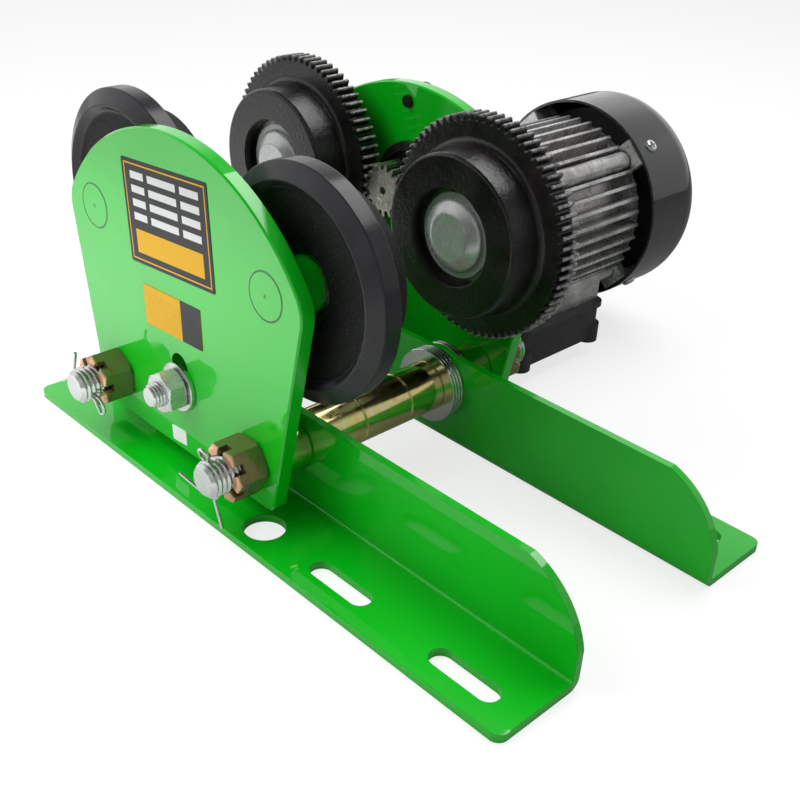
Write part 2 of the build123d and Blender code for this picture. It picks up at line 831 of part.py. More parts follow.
pinion_bearings = [
    (nose_front, nose_rear, nose_bearing_d, nose_journal_d),
    (gearbox_rear, tail_rear, tail_bearing_d, tail_journal_d),
]
front_bearing_y = frame_front - rotor_bearing_w
rear_bearing_y = frame_rear + rotor_bearing_w
rotor_bearings = [
    (front_bearing_y, frame_front, rotor_bearing_d, rotor_journal_d),
    (frame_rear, rear_bearing_y, rotor_bearing_d, rotor_journal_d),
]
shaft_bearings = [("pinion", pinion_centre, pinion_bearings), ("rotor", motor_centre, rotor_bearings)]
for shaft, centre, bearings in shaft_bearings:
    with BuildPart() as inner:
        for start, end, outer_d, bore_d in bearings:
            add(rings(start, end, [centre], ring_step(outer_d, bore_d), bore_d / 2 + fit))
    save(inner.part, f"{shaft}_bearing_inner_rings")
    with BuildPart() as outer:
        for start, end, outer_d, bore_d in bearings:
            add(rings(start, end, [centre], outer_d / 2, ring_step(outer_d, bore_d) + fit))
    save(outer.part, f"{shaft}_bearing_outer_rings")

# Gearbox housing: a pear-shaped shell with a bearing boss and three lugs
with BuildPart() as gearbox_housing:
    with BuildSketch(cross_plane(gearbox_rear)):
        with Locations(pinion_centre):
            Circle(gearbox_r)
        with Locations(motor_centre):
            Circle(gearbox_low_r)
        make_hull()
        for lug, root in zip(long_lugs, (pinion_centre, pinion_centre, motor_centre, motor_centre)):
            middle = ((lug[0] + root[0]) / 2, (lug[1] + root[1]) / 2)
            SlotCenterPoint(middle, lug, lug_d)
    extrude(amount=gearbox_depth)
    with BuildSketch(cross_plane(far_outer + lug_t)):
        SlotCenterPoint(polar(pinion_centre, lug_reach / 2, mesh_angle + 180), top_lug, lug_d)
    extrude(amount=lug_t)
    with BuildSketch(cross_plane(gearbox_rear)):
        with Locations(pinion_centre):
            Circle(gearbox_r - gearbox_wall)
        with Locations(motor_centre):
            Circle(gearbox_low_r - gearbox_wall)
        make_hull()
    extrude(amount=gearbox_depth - gearbox_wall, mode=Mode.SUBTRACT)
    with BuildSketch(cross_plane(far_outer)):
        with Locations(pinion_centre):
            Circle(boss_d / 2)
    extrude(amount=far_outer - boss_front)
    with BuildSketch(cross_plane(nose_rear)):
        with Locations(pinion_centre):
            Circle(nose_bearing_d / 2 + fit)
    extrude(amount=nose_rear - boss_front, mode=Mode.SUBTRACT)
    with BuildSketch(cross_plane(far_outer + gearbox_wall)):
        with Locations(pinion_centre):
            Circle(output_hub_d / 2 + gearbox_room)
    extrude(amount=far_outer + gearbox_wall - nose_rear, mode=Mode.SUBTRACT)
    with BuildSketch(cross_plane(gearbox_rear)):
        with Locations(top_lug, *long_lugs):
            Circle(screw_d / 2 + fit)
    extrude(amount=gearbox_depth, mode=Mode.SUBTRACT)
save(gearbox_housing.part, "gearbox_housing")

# Socket screws into the far plate: a short one in the top lug, long ones that also hold the end shield
closing_rear = gearbox_rear + closing_t
with BuildPart() as gearbox_screws:
    for seat, centres in ((far_outer + lug_t, [top_lug]), (closing_rear, long_lugs)):
        with BuildSketch(cross_plane(seat)):
            with Locations(*centres):
                Circle(screw_d / 2)
        extrude(amount=seat - far_inner + screw_tip)
        with BuildSketch(cross_plane(seat + screw_head_t)):
            with Locations(*centres):
                Circle(screw_head_d / 2)
        extrude(amount=screw_head_t)
        with BuildSketch(cross_plane(seat + screw_head_t)):
            with Locations(*centres):
                RegularPolygon(screw_socket / 2, 6, major_radius=False)
        extrude(amount=screw_head_t / 2, mode=Mode.SUBTRACT)
save(gearbox_screws.part, "gearbox_screws")

rib_angles = (45, 135, 225, 315)
rib_centres = [polar(motor_centre, rib_reach, angle) for angle in rib_angles]

# Front end shield: it closes the gearbox and carries the motor
with BuildPart() as front_end_shield:
    with BuildSketch(cross_plane(closing_rear)):
        with Locations(pinion_centre):
            Circle(gearbox_r)
        with Locations(motor_centre):
            Circle(shield_d / 2)
        with Locations(*long_lugs):
            Circle(lug_d / 2)
        make_hull()
    extrude(amount=closing_t)
    with BuildSketch(cross_plane(frame_front)):
        with Locations(motor_centre):
            Circle(shield_d / 2)
        with Locations(*rib_centres):
            Circle(rib_d / 2)
    extrude(amount=shield_t)
    with BuildSketch(cross_plane(tail_rear + tail_boss_end)):
        with Locations(pinion_centre):
            Circle(tail_bearing_d / 2 + tail_boss_wall)
    extrude(amount=tail_bearing_w + tail_boss_end)
    with BuildSketch(cross_plane(tail_rear)):
        with Locations(pinion_centre):
            Circle(tail_bearing_d / 2 + fit)
    extrude(amount=tail_bearing_w, mode=Mode.SUBTRACT)
    with BuildSketch(cross_plane(frame_front)):
        with Locations(motor_centre):
            Circle(rotor_bearing_d / 2 + fit)
    extrude(amount=rotor_bearing_w, mode=Mode.SUBTRACT)
    with BuildSketch(cross_plane(frame_front)):
        with Locations(motor_centre):
            Circle(rotor_journal_d / 2 + gearbox_room)
    extrude(amount=shield_t, mode=Mode.SUBTRACT)
    with BuildSketch(cross_plane(closing_rear)):
        with Locations(*long_lugs):
            Circle(screw_d / 2 + fit)
    extrude(amount=closing_t, mode=Mode.SUBTRACT)
    with BuildSketch(cross_plane(frame_front)):
        with Locations(*rib_centres):
            Circle(tie_d / 2 + fit)
    extrude(amount=tie_bite, mode=Mode.SUBTRACT)
save(front_end_shield.part, "front_end_shield")

# Finned motor frame, with four tie bolt ribs and a flat pad for the terminal box
box_front = frame_front + box_lip + box_shield_gap
box_rear = box_front + box_l
pad_z = motor_z - frame_d / 2 - pad_stand
fin_mid = (fin_d / 2 + frame_bore_d / 2) / 2
fin_len = (fin_d - frame_bore_d) / 2
fin_count = round(90 / fin_pitch) - 1
with BuildPart() as motor_frame:
    with BuildSketch(cross_plane(frame_rear)):
        with Locations(motor_centre):
            Circle(frame_d / 2)
            for quarter in range(3):
                first = -45 + 90 * quarter + fin_pitch
                with PolarLocations(fin_mid, fin_count, first, (fin_count - 1) * fin_pitch, endpoint=True):
                    Rectangle(fin_len, fin_t)
        with Locations(*rib_centres):
            Circle(rib_d / 2)
    extrude(amount=frame_l)
    with BuildSketch(cross_plane(box_rear)):
        with Locations((motor_x, pad_z)):
            Rectangle(pad_w, pad_rise, align=(Align.CENTER, Align.MIN))
    extrude(amount=box_rear - frame_front)
    with BuildSketch(cross_plane(frame_rear)):
        with Locations(motor_centre):
            Circle(frame_bore_d / 2)
        with Locations(*rib_centres):
            Circle(tie_d / 2 + fit)
    extrude(amount=frame_l, mode=Mode.SUBTRACT)
save(motor_frame.part, "motor_frame")

# Stator and rotor
stator_front = (frame_front + frame_rear - stator_l) / 2
stator_rear = stator_front + stator_l
stator_r = frame_bore_d / 2 - fit
stator_bore_r = stator_r - stator_wall
winding_inner_r = stator_bore_r + air_gap
winding_outer_r = stator_r - winding_gap
rotor_tail_end = frame_rear + rear_hub_t + fan_room + fan_blade_w + fan_t
save(rings(stator_front, stator_rear, [motor_centre], stator_r, stator_bore_r), "stator_core")
with BuildPart() as windings:
    for start in (stator_front - winding_l, stator_rear):
        add(rings(start, start + winding_l, [motor_centre], winding_outer_r, winding_inner_r))
save(windings.part, "stator_windings")
rotor_r = stator_bore_r - air_gap
rotor_seat_r = rotor_seat_d / 2
rotor_profile = [
    (output_rear, 0, 0),
    (output_rear, stage_module * (motor_teeth / 2 - 1.25), 0),
    (front_bearing_y, stage_module * (motor_teeth / 2 - 1.25), 0),
    (front_bearing_y, rotor_journal_d / 2, 0),
    (frame_front, rotor_journal_d / 2, 0),
    (frame_front, rotor_seat_r, 0),
    (frame_rear, rotor_seat_r, 0),
    (frame_rear, rotor_journal_d / 2, 0),
    (rear_bearing_y, rotor_journal_d / 2, 0),
    (rear_bearing_y, rotor_tail_d / 2, 0),
    (rotor_tail_end, rotor_tail_d / 2, 0),
    (rotor_tail_end, 0, 0),
]
motor_pinion_turn = mesh_angle + 180 + 180 / motor_teeth
rotor_blank = turned(motor_x, motor_z, rotor_profile)
with BuildPart() as rotor_shaft:
    with BuildSketch(cross_plane(output_rear)):
        with BuildLine():
            outline = gear_outline(motor_x, motor_z, stage_module, motor_teeth, motor_pinion_turn)
            Polyline(*outline, close=True)
        make_face()
    extrude(amount=output_face)
    add(rotor_blank)
save(rotor_shaft.part, "rotor_shaft")
save(rings(stator_front, stator_rear, [motor_centre], rotor_r, rotor_seat_r + fit), "rotor_core")

# Rear end shield, with square ears for the tie bolts and posts that carry the fan cover
ear_r = ((cover_d / 2 - cover_wall - seat_gap) ** 2 - (ear_w / 2) ** 2) ** 0.5
rear_face = frame_rear + rear_t
tail_room_r = rotor_tail_d / 2 + gearbox_room


def ear_block(inner_r, outer_r, y_a, y_b):
    """Four blocks round the motor axis, in line with the ribs, between two radii."""
    plane, depth = slice_between(y_a, y_b)
    with BuildPart() as blocks:
        with BuildSketch(plane):
            with Locations(motor_centre):
                with PolarLocations((inner_r + outer_r) / 2, len(rib_angles), rib_angles[0]):
                    Rectangle(outer_r - inner_r, ear_w)
        extrude(amount=depth)
    return blocks.part


def radial_plane(angle, y):
    """Plane through the motor axis at y, facing out at an angle."""
    out = (cos(radians(angle)), 0, sin(radians(angle)))
    return Plane(origin=(motor_x, y, motor_z), x_dir=(0, 1, 0), z_dir=out)


def radial_pegs(peg_r, inner_r, outer_r, mode):
    """Round pegs at the cover screws, between two radii from the motor axis."""
    for angle in rib_angles:
        with BuildSketch(radial_plane(angle, cover_front + cover_screw_y).offset(inner_r)) as peg:
            Circle(peg_r)
        extrude(peg.sketch, amount=outer_r - inner_r, mode=mode)


ears = ear_block(rear_d / 2 - ear_w / 2, ear_r, frame_rear, rear_face)
posts = ear_block(ear_r - ear_post_t, ear_r, rear_face, frame_rear + ear_post)
with BuildPart() as rear_end_shield:
    add(rings(frame_rear, rear_face, [motor_centre], rear_d / 2, tail_room_r))
    add(rings(rear_face, frame_rear + rear_hub_t, [motor_centre], rear_hub_d / 2, tail_room_r))
    add(ears)
    add(posts)
    with BuildSketch(cross_plane(rear_bearing_y)):
        with Locations(motor_centre):
            Circle(rotor_bearing_d / 2 + fit)
    extrude(amount=rotor_bearing_w, mode=Mode.SUBTRACT)
    with BuildSketch(cross_plane(rear_face)):
        with Locations(*rib_centres):
            Circle(tie_d / 2 + fit)
    extrude(amount=rear_t, mode=Mode.SUBTRACT)
    with BuildSketch(cross_plane(frame_rear + ear_pocket_t)):
        with Locations(*rib_centres):
            Circle(rib_d / 2 + ear_pocket)
    extrude(amount=ear_pocket_t, mode=Mode.SUBTRACT)
    radial_pegs(cover_screw_d / 2 + fit, ear_r - cover_screw_bite, ear_r, Mode.SUBTRACT)
save(rear_end_shield.part, "rear_end_shield")

# Tie bolts, from the rear ears through the ribs into the front shield
with BuildPart() as motor_tie_bolts:
    with BuildSketch(cross_plane(rear_face)):
        with Locations(*rib_centres):
            Circle(tie_d / 2)
    extrude(amount=rear_face - frame_front + tie_bite)
    with BuildSketch(cross_plane(rear_face + tie_head_t)):
        with Locations(*rib_centres):
            Circle(tie_head_d / 2)
    extrude(amount=tie_head_t)
save(motor_tie_bolts.part, "motor_tie_bolts")

# Cooling fan on the rotor's tail
fan_front = frame_rear + rear_hub_t + fan_room
with BuildPart() as cooling_fan:
    with BuildSketch(cross_plane(fan_front + fan_t)):
        with Locations(motor_centre):
            Circle(fan_d / 2)
    extrude(amount=fan_t)
    with BuildSketch(cross_plane(rotor_tail_end)):
        with Locations(motor_centre):
            Circle(fan_hub_d / 2)
            with PolarLocations(fan_d / 4, fan_blades):
                Rectangle(fan_d / 2, fan_t)
    extrude(amount=fan_blade_w)
    with BuildSketch(cross_plane(rotor_tail_end)):
        with Locations(motor_centre):
            Circle(rotor_tail_d / 2 + fit)
    extrude(amount=rotor_tail_end - fan_front, mode=Mode.SUBTRACT)
save(cooling_fan.part, "cooling_fan")

# Fan cover: a drawn shell with a rounded rear edge and a slotted air inlet
cover_r = cover_d / 2
cover_profile = [
    (cover_front, cover_r - cover_wall, 0),
    (cover_front, cover_r, 0),
    (cover_rear, cover_r, cover_round),
    (cover_rear, 0, 0),
    (cover_rear - cover_wall, 0, 0),
    (cover_rear - cover_wall, cover_r - cover_wall, cover_round - cover_wall),
]
cover_shell = turned(motor_x, motor_z, cover_profile)
with BuildPart() as fan_cover:
    add(cover_shell)
    with BuildSketch(cross_plane(cover_rear)):
        with Locations(motor_centre):
            for reach, count in ((grille_inner, grille_inner_count), (grille_outer, grille_outer_count)):
                with PolarLocations(reach, count):
                    Rectangle(grille_l, grille_w)
    extrude(amount=cover_wall, mode=Mode.SUBTRACT)
    radial_pegs(cover_screw_d / 2 + fit, ear_r, cover_r, Mode.SUBTRACT)
save(fan_cover.part, "fan_cover")
with BuildPart() as fan_cover_screws:
    radial_pegs(cover_screw_d / 2, ear_r - cover_screw_bite, cover_r, Mode.ADD)
    radial_pegs(cover_screw_head_d / 2, cover_r, cover_r + cover_screw_head_t, Mode.ADD)
save(fan_cover_screws.part, "fan_cover_screws")

# Terminal box under the motor: a tray with a lip against the pad, and a lobed lid below
box_mid_y = (box_front + box_rear) / 2
box_low_z = pad_z - box_h
lid_low_z = box_low_z - lid_t
lobe_low_z = lid_low_z - lobe_drop
lobe_x = box_w / 2 - lobe_inset
lobe_y = box_l / 2 - lobe_inset
lobe_centres = [(motor_x + a * lobe_x, box_mid_y + b * lobe_y) for a in (-1, 1) for b in (-1, 1)]
gland_z = (pad_z - box_wall + box_low_z) / 2
gland_face = motor_x - box_w / 2
box_centre = (motor_x, box_mid_y)
with BuildPart() as terminal_box:
    with BuildSketch(Plane.XY.offset(box_low_z)):
        with Locations(box_centre):
            RectangleRounded(box_w, box_l, box_round)
    extrude(amount=box_h)
    with BuildSketch(Plane.XY.offset(pad_z - box_lip_t)):
        with Locations(box_centre):
            RectangleRounded(box_w + 2 * box_lip, box_l + 2 * box_lip, box_round + box_lip)
    extrude(amount=box_lip_t)
    with BuildSketch(Plane.XY.offset(box_low_z)):
        with Locations(box_centre):
            RectangleRounded(box_w - 2 * box_wall, box_l - 2 * box_wall, box_round - box_wall)
    extrude(amount=box_h - box_wall, mode=Mode.SUBTRACT)
    with BuildSketch(Plane.XY.offset(box_low_z)):
        with Locations(*lobe_centres):
            Circle(lobe_d / 2)
    extrude(amount=lobe_h)
    with BuildSketch(Plane.XY.offset(box_low_z)):
        with Locations(*lobe_centres):
            Circle(lid_screw_d / 2 + fit)
    extrude(amount=lid_screw_bite, mode=Mode.SUBTRACT)
    with BuildSketch(Plane.YZ.offset(gland_face)):
        with Locations((box_mid_y, gland_z)):
            Circle(gland_d / 2 + fit)
    extrude(amount=box_wall, mode=Mode.SUBTRACT)
save(terminal_box.part, "terminal_box")
with BuildPart() as terminal_box_lid:
    with BuildSketch(Plane.XY.offset(lid_low_z)):
        with Locations(box_centre):
            RectangleRounded(box_w, box_l, box_round)
    extrude(amount=lid_t)
    with BuildSketch(Plane.XY.offset(lobe_low_z)):
        with Locations(*lobe_centres):
            Circle(lobe_d / 2)
    extrude(amount=lid_t + lobe_drop)
    with BuildSketch(Plane.XY.offset(lobe_low_z)):
        with Locations(*lobe_centres):
            Circle(lid_screw_head_d / 2 + fit)
    extrude(amount=lid_screw_head_t, mode=Mode.SUBTRACT)
    with BuildSketch(Plane.XY.offset(lobe_low_z)):
        with Locations(*lobe_centres):
            Circle(lid_screw_d / 2 + fit)
    extrude(amount=lid_t + lobe_drop, mode=Mode.SUBTRACT)
save(terminal_box_lid.part, "terminal_box_lid")
with BuildPart() as lid_screws:
    with BuildSketch(Plane.XY.offset(lobe_low_z)):
        with Locations(*lobe_centres):
            Circle(lid_screw_head_d / 2)
    extrude(amount=lid_screw_head_t)
    with BuildSketch(Plane.XY.offset(lobe_low_z + lid_screw_head_t)):
        with Locations(*lobe_centres):
            Circle(lid_screw_d / 2)
    extrude(amount=lid_t + lobe_drop - lid_screw_head_t + lid_screw_bite)
save(lid_screws.part, "lid_screws")

# Cable gland in the wall of the box, with its locknut inside
gland_inner = gland_face + box_wall
with BuildPart() as cable_gland:
    with BuildSketch(Plane.YZ.offset(gland_face - gland_hex_t - gland_dome_l)):
        with Locations((box_mid_y, gland_z)):
            Circle(gland_dome_d / 2)
    extrude(amount=gland_dome_l)
    chamfer(cable_gland.edges().group_by(Axis.X)[0], gland_dome_d / 7)
    with BuildSketch(Plane.YZ.offset(gland_face - gland_hex_t)):
        with Locations((box_mid_y, gland_z)):
            RegularPolygon(gland_af / 2, 6, major_radius=False)
    extrude(amount=gland_hex_t)
    with BuildSketch(Plane.YZ.offset(gland_face)):
        with Locations((box_mid_y, gland_z)):
            Circle(gland_d / 2)
    extrude(amount=box_wall + gland_nut_t + gland_tail)
    with BuildSketch(Plane.YZ.offset(gland_face - gland_hex_t - gland_dome_l)):
        with Locations((box_mid_y, gland_z)):
            Circle(gland_bore_d / 2)
    extrude(amount=gland_dome_l + gland_hex_t + box_wall + gland_nut_t + gland_tail, mode=Mode.SUBTRACT)
save(cable_gland.part, "cable_gland")
with BuildPart() as gland_locknut:
    with BuildSketch(Plane.YZ.offset(gland_inner)):
        with Locations((box_mid_y, gland_z)):
            RegularPolygon(gland_af / 2, 6, major_radius=False)
            Circle(gland_d / 2 + fit, mode=Mode.SUBTRACT)
    extrude(amount=gland_nut_t)
save(gland_locknut.part, "gland_locknut")

# Terminal block and run capacitor, under the roof of the box
roof_z = pad_z - box_wall
with BuildPart() as terminal_block:
    with BuildSketch(Plane.XY.offset(roof_z - terminal_h)):
        with Locations((motor_x - terminal_w / 2, box_mid_y)):
            Rectangle(terminal_w, terminal_l)
    extrude(amount=terminal_h)
save(terminal_block.part, "terminal_block")
with BuildPart() as run_capacitor:
    with BuildSketch(cross_plane(box_mid_y + capacitor_l / 2)):
        with Locations((motor_x + box_w / 4, roof_z - capacitor_d / 2 - seat_gap)):
            Circle(capacitor_d / 2)
    extrude(amount=capacitor_l)
save(run_capacitor.part, "run_capacitor")
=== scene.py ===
import json
import math

import bmesh
import bpy
from mathutils import Matrix, Vector


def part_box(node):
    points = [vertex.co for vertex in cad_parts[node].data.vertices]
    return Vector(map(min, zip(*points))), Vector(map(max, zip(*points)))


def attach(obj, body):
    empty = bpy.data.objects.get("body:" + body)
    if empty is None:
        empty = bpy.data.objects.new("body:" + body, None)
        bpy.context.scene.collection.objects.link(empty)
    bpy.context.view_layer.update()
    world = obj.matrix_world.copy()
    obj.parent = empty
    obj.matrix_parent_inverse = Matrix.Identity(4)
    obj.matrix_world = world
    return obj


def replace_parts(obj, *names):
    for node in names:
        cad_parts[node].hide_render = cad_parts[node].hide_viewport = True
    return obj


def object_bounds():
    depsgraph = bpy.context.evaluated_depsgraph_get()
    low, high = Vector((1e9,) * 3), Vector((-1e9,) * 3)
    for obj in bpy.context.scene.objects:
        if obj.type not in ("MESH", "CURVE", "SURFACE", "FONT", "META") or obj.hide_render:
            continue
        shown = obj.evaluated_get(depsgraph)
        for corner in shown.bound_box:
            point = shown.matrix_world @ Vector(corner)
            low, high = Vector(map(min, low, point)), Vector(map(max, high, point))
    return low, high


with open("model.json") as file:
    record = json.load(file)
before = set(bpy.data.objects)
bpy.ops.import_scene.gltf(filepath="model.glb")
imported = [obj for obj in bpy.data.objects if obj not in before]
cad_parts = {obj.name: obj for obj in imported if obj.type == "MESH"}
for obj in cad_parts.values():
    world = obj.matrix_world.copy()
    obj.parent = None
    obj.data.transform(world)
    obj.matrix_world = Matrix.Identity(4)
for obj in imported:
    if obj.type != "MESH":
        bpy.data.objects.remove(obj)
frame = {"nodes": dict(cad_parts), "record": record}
cad_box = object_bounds()
nodes = frame["nodes"]
scene = bpy.context.scene

# Places that part.py sets too, in metres. Wheel axles are given by their X and Z.
MM = 0.001
AXLE_X, AXLE_Z = 66.75 * MM, 40 * MM
LEFT_AXLE, RIGHT_AXLE = (-AXLE_X, AXLE_Z), (AXLE_X, AXLE_Z)
ROD_X = 55 * MM


class Shader:
    """One material's nodes, in object coordinates and metres: a noise of 500 is about 2 mm."""

    def __init__(self, name):
        self.material = bpy.data.materials.new(name)
        self.material.use_nodes = True
        self.tree = self.material.node_tree
        self.body = self.tree.nodes["Principled BSDF"]
        self.coords = self.node("ShaderNodeTexCoord").outputs["Object"]

    def node(self, kind, **settings):
        made = self.tree.nodes.new(kind)
        for key, value in settings.items():
            setattr(made, key, value)
        return made

    def link(self, output, socket):
        self.tree.links.new(output, socket)

    def feed(self, socket, value):
        if isinstance(value, bpy.types.NodeSocket):
            self.link(value, socket)
        else:
            socket.default_value = value

    def set(self, **values):
        for key, value in values.items():
            self.feed(self.body.inputs[key.replace("_", " ")], value)

    def split(self, vector=None):
        """The parts X, Y and Z of a vector, or of the object coordinates."""
        made = self.node("ShaderNodeSeparateXYZ")
        self.link(vector or self.coords, made.inputs["Vector"])
        return made.outputs

    def stretched(self, x, y, z):
        made = self.node("ShaderNodeMapping")
        self.link(self.coords, made.inputs["Vector"])
        made.inputs["Scale"].default_value = (x, y, z)
        return made.outputs["Vector"]

    def noise(self, scale, detail=3.0, rough=0.5, distortion=0.0, vector=None):
        made = self.node("ShaderNodeTexNoise")
        self.link(vector or self.coords, made.inputs["Vector"])
        made.inputs["Scale"].default_value = scale
        made.inputs["Detail"].default_value = detail
        made.inputs["Roughness"].default_value = rough
        made.inputs["Distortion"].default_value = distortion
        return made.outputs["Fac"]

    def ramp(self, value, *stops):
        """Tones at places along a value. A tone is a number or a colour."""
        made = self.node("ShaderNodeValToRGB")
        self.link(value, made.inputs["Fac"])
        elements = made.color_ramp.elements
        while len(elements) < len(stops):
            elements.new(0.5)
        for element, (place, tone) in zip(elements, stops):
            element.position = place
            element.color = (*tone, 1) if isinstance(tone, tuple) else (tone, tone, tone, 1)
        return made.outputs["Color"]

    def vary(self, value, low, high):
        """From one tone to another over the range that most of a noise has."""
        return self.ramp(value, (0.3, low), (0.7, high))

    def math(self, operation, a, b=0.0):
        made = self.node("ShaderNodeMath", operation=operation)
        self.feed(made.inputs[0], a)
        self.feed(made.inputs[1], b)
        return made.outputs["Value"]

    def times(self, a, b):
        return self.math("MULTIPLY", a, b)

    def mix(self, factor, a, b):
        made = self.node("ShaderNodeMix", data_type="RGBA")
        self.feed(made.inputs["Factor"], factor)
        self.feed(made.inputs["A"], (*a, 1) if isinstance(a, tuple) else a)
        self.feed(made.inputs["B"], (*b, 1) if isinstance(b, tuple) else b)
        return made.outputs["Result"]

    def rounded(self, radius):
        """Normals as on edges of that radius."""
        made = self.node("ShaderNodeBevel", samples=4)
        made.inputs["Radius"].default_value = radius
        return made.outputs["Normal"]

    def bump(self, height, strength, distance, normal=None):
        made = self.node("ShaderNodeBump")
        self.link(height, made.inputs["Height"])
        made.inputs["Strength"].default_value = strength
        made.inputs["Distance"].default_value = distance
        if normal:
            self.link(normal, made.inputs["Normal"])
        self.link(made.outputs["Normal"], self.body.inputs["Normal"])

    def fade(self, value, one, nought):
        """1 where the value reaches the first number, 0 where it reaches the second."""
        made = self.node("ShaderNodeMapRange")
        self.link(value, made.inputs["Value"])
        made.inputs["From Min"].default_value = nought
        made.inputs["From Max"].default_value = one
        return made.outputs["Result"]

    def near_axis(self, x, z, low, high):
        """1 inside the smaller radius from an axis along Y, 0 outside the larger one."""
        parts = self.split()
        across = self.math("POWER", self.math("SUBTRACT", parts["X"], x), 2.0)
        up = self.math("POWER", self.math("SUBTRACT", parts["Z"], z), 2.0)
        return self.fade(self.math("SQRT", self.math("ADD", across, up)), low, high)


# Materials
def green_paint(name="green_paint", groove_shade=None):
    """Gloss enamel with a faint orange peel.

    Given an axle, a darker ring round its rivet is painted in: painted shade of the groove under
    the paint.
    """
    s = Shader(name)
    base = s.vary(s.noise(14, 2), (0.0012, 0.48, 0.008), (0.002, 0.54, 0.013))
    dust = s.ramp(s.noise(900, 2), (0.72, 0.0), (0.80, 0.35))
    base = s.mix(dust, base, (0.02, 0.60, 0.04))
    if groove_shade:
        # Painted shade: a darker green ring over the groove round the rivet.
        groove_shade_outer = s.near_axis(*groove_shade, 11.1 * MM, 11.3 * MM)
        groove_shade_inner = s.near_axis(*groove_shade, 10.6 * MM, 10.8 * MM)
        base = s.mix(s.math("SUBTRACT", groove_shade_outer, groove_shade_inner), base, (0.0, 0.10, 0.001))
    s.set(Base_Color=base, Roughness=s.vary(s.noise(45), 0.30, 0.40), Specular_IOR_Level=0.15)
    s.set(Coat_Weight=1.0, Coat_Roughness=0.03, Coat_IOR=1.6)
    s.bump(s.noise(260, 2), 0.05, 0.0002, s.rounded(0.0008))
    return s.material


def black_cast(name, axle):
    """Black paint: smooth on the turned rim, rough and matt on the casting inside it, where the
    base is near black, partly the casting's tone and partly painted shade of the recess.
    """
    s = Shader(name)
    web = s.near_axis(*axle, 41.5 * MM, 43 * MM)
    base = s.vary(s.noise(70, 4), (0.018, 0.018, 0.021), (0.030, 0.030, 0.034))
    # Near black inside the rim: partly the casting's own tone, partly painted shade of the recessed
    # web.
    base = s.mix(web, base, (0.003, 0.003, 0.003))
    specks = s.ramp(s.noise(1500, 2), (0.66, 0.0), (0.72, 0.9))
    base = s.mix(s.times(specks, web), base, (0.10, 0.10, 0.10))
    satin = s.ramp(s.noise(90, 4, 0.6), (0.3, 0.17), (0.75, 0.30))
    matt = (0.62, 0.62, 0.62)
    s.set(Base_Color=base, Roughness=s.mix(web, satin, matt), Specular_IOR_Level=0.35)
    relief = s.math("ADD", s.times(web, 1.2), 0.15)
    s.bump(s.times(s.noise(620, 4, 0.6), relief), 0.45, 0.0007, s.rounded(0.0006))
    return s.material


def oily_black(name="black_gear", axle=None):
    """Black paint with oil smears and a fine grit. Round an axle, the tips of teeth are lighter:
    worn paint, and partly painted glints.
    """
    s = Shader(name)
    film = s.noise(48, 4, 0.65, 1.2)
    base = s.ramp(film, (0.35, (0.006, 0.005, 0.005)), (0.7, (0.017, 0.015, 0.014)))
    specks = s.ramp(s.noise(1200, 3), (0.66, 0.0), (0.76, 0.45))
    base = s.mix(specks, base, (0.10, 0.09, 0.085))
    if axle:
        # Lighter tooth tips: worn paint, and partly painted glints on their edges.
        tips = s.math("SUBTRACT", 1.0, s.near_axis(*axle, 54.4 * MM, 55.3 * MM))
        patches = s.ramp(s.noise(380, 3, 0.6), (0.35, 0.1), (0.6, 0.9))
        base = s.mix(s.times(tips, patches), base, (0.42, 0.41, 0.40))
    s.set(Base_Color=base, Roughness=s.ramp(film, (0.35, 0.12), (0.7, 0.26)))
    s.bump(s.noise(420, 4, 0.7), 0.55, 0.0005, s.rounded(0.0007))
    return s.material


def yellow_zinc(name="yellow_zinc", depth=1.0, rough=0.09, metallic=1.0, crown_highlight=None):
    """Yellow passivated zinc with pink and green bands.

    The last argument gives a middle along Y, and how far from it the bright ends of a nut start and
    are full; those bright ends are a painted highlight.
    """
    bands = (
        (0.28, (0.72, 0.50, 0.22)),
        (0.42, (0.90, 0.74, 0.32)),
        (0.54, (0.74, 0.78, 0.26)),
        (0.66, (1.00, 0.70, 0.56)),
        (0.76, (0.88, 0.68, 0.34)),
    )
    s = Shader(name)
    tints = [(place, tuple(tone * depth for tone in colour)) for place, colour in bands]
    tint = s.ramp(s.noise(60, 3, 0.6, 1.8), *tints)
    if crown_highlight:
        # Painted highlight: a bright pink-orange tint on both ends of the nut.
        middle, start, full = crown_highlight
        away = s.math("ABSOLUTE", s.math("SUBTRACT", s.split()["Y"], middle))
        tint = s.mix(s.fade(away, full, start), tint, (0.80, 0.47, 0.30))
    s.set(Base_Color=tint, Metallic=metallic)
    s.set(Roughness=s.vary(s.noise(240, 3), rough, rough + 0.09))
    s.bump(s.noise(600, 3), 0.06, 0.0002, s.rounded(0.0006))
    return s.material


def bright_zinc(name="bright_zinc", shade=0.74, rough=0.12, metallic=1.0):
    """Zinc plating, a little green in its darker places."""
    s = Shader(name)
    dark = tuple(shade * tone for tone in (0.84, 0.90, 0.87))
    s.set(Base_Color=s.vary(s.noise(120, 4, 0.6), dark, shade), Metallic=metallic)
    s.set(Roughness=s.vary(s.noise(420), rough, rough + 0.10))
    s.bump(s.noise(900, 3), 0.06, 0.0002, s.rounded(0.0005))
    return s.material


def bare_steel():
    """Turned steel, with fine grooves across Y."""
    s = Shader("bare_steel")
    turned = s.noise(1.0, 3, 0.6, 0.0, s.stretched(500, 2400, 500))
    tone = s.vary(s.noise(300, 4, 0.7), (0.20, 0.19, 0.17), (0.40, 0.39, 0.35))
    s.set(Base_Color=tone, Metallic=1.0, Roughness=s.vary(turned, 0.24, 0.44))
    s.bump(turned, 0.2, 0.0002, s.rounded(0.0003))
    return s.material


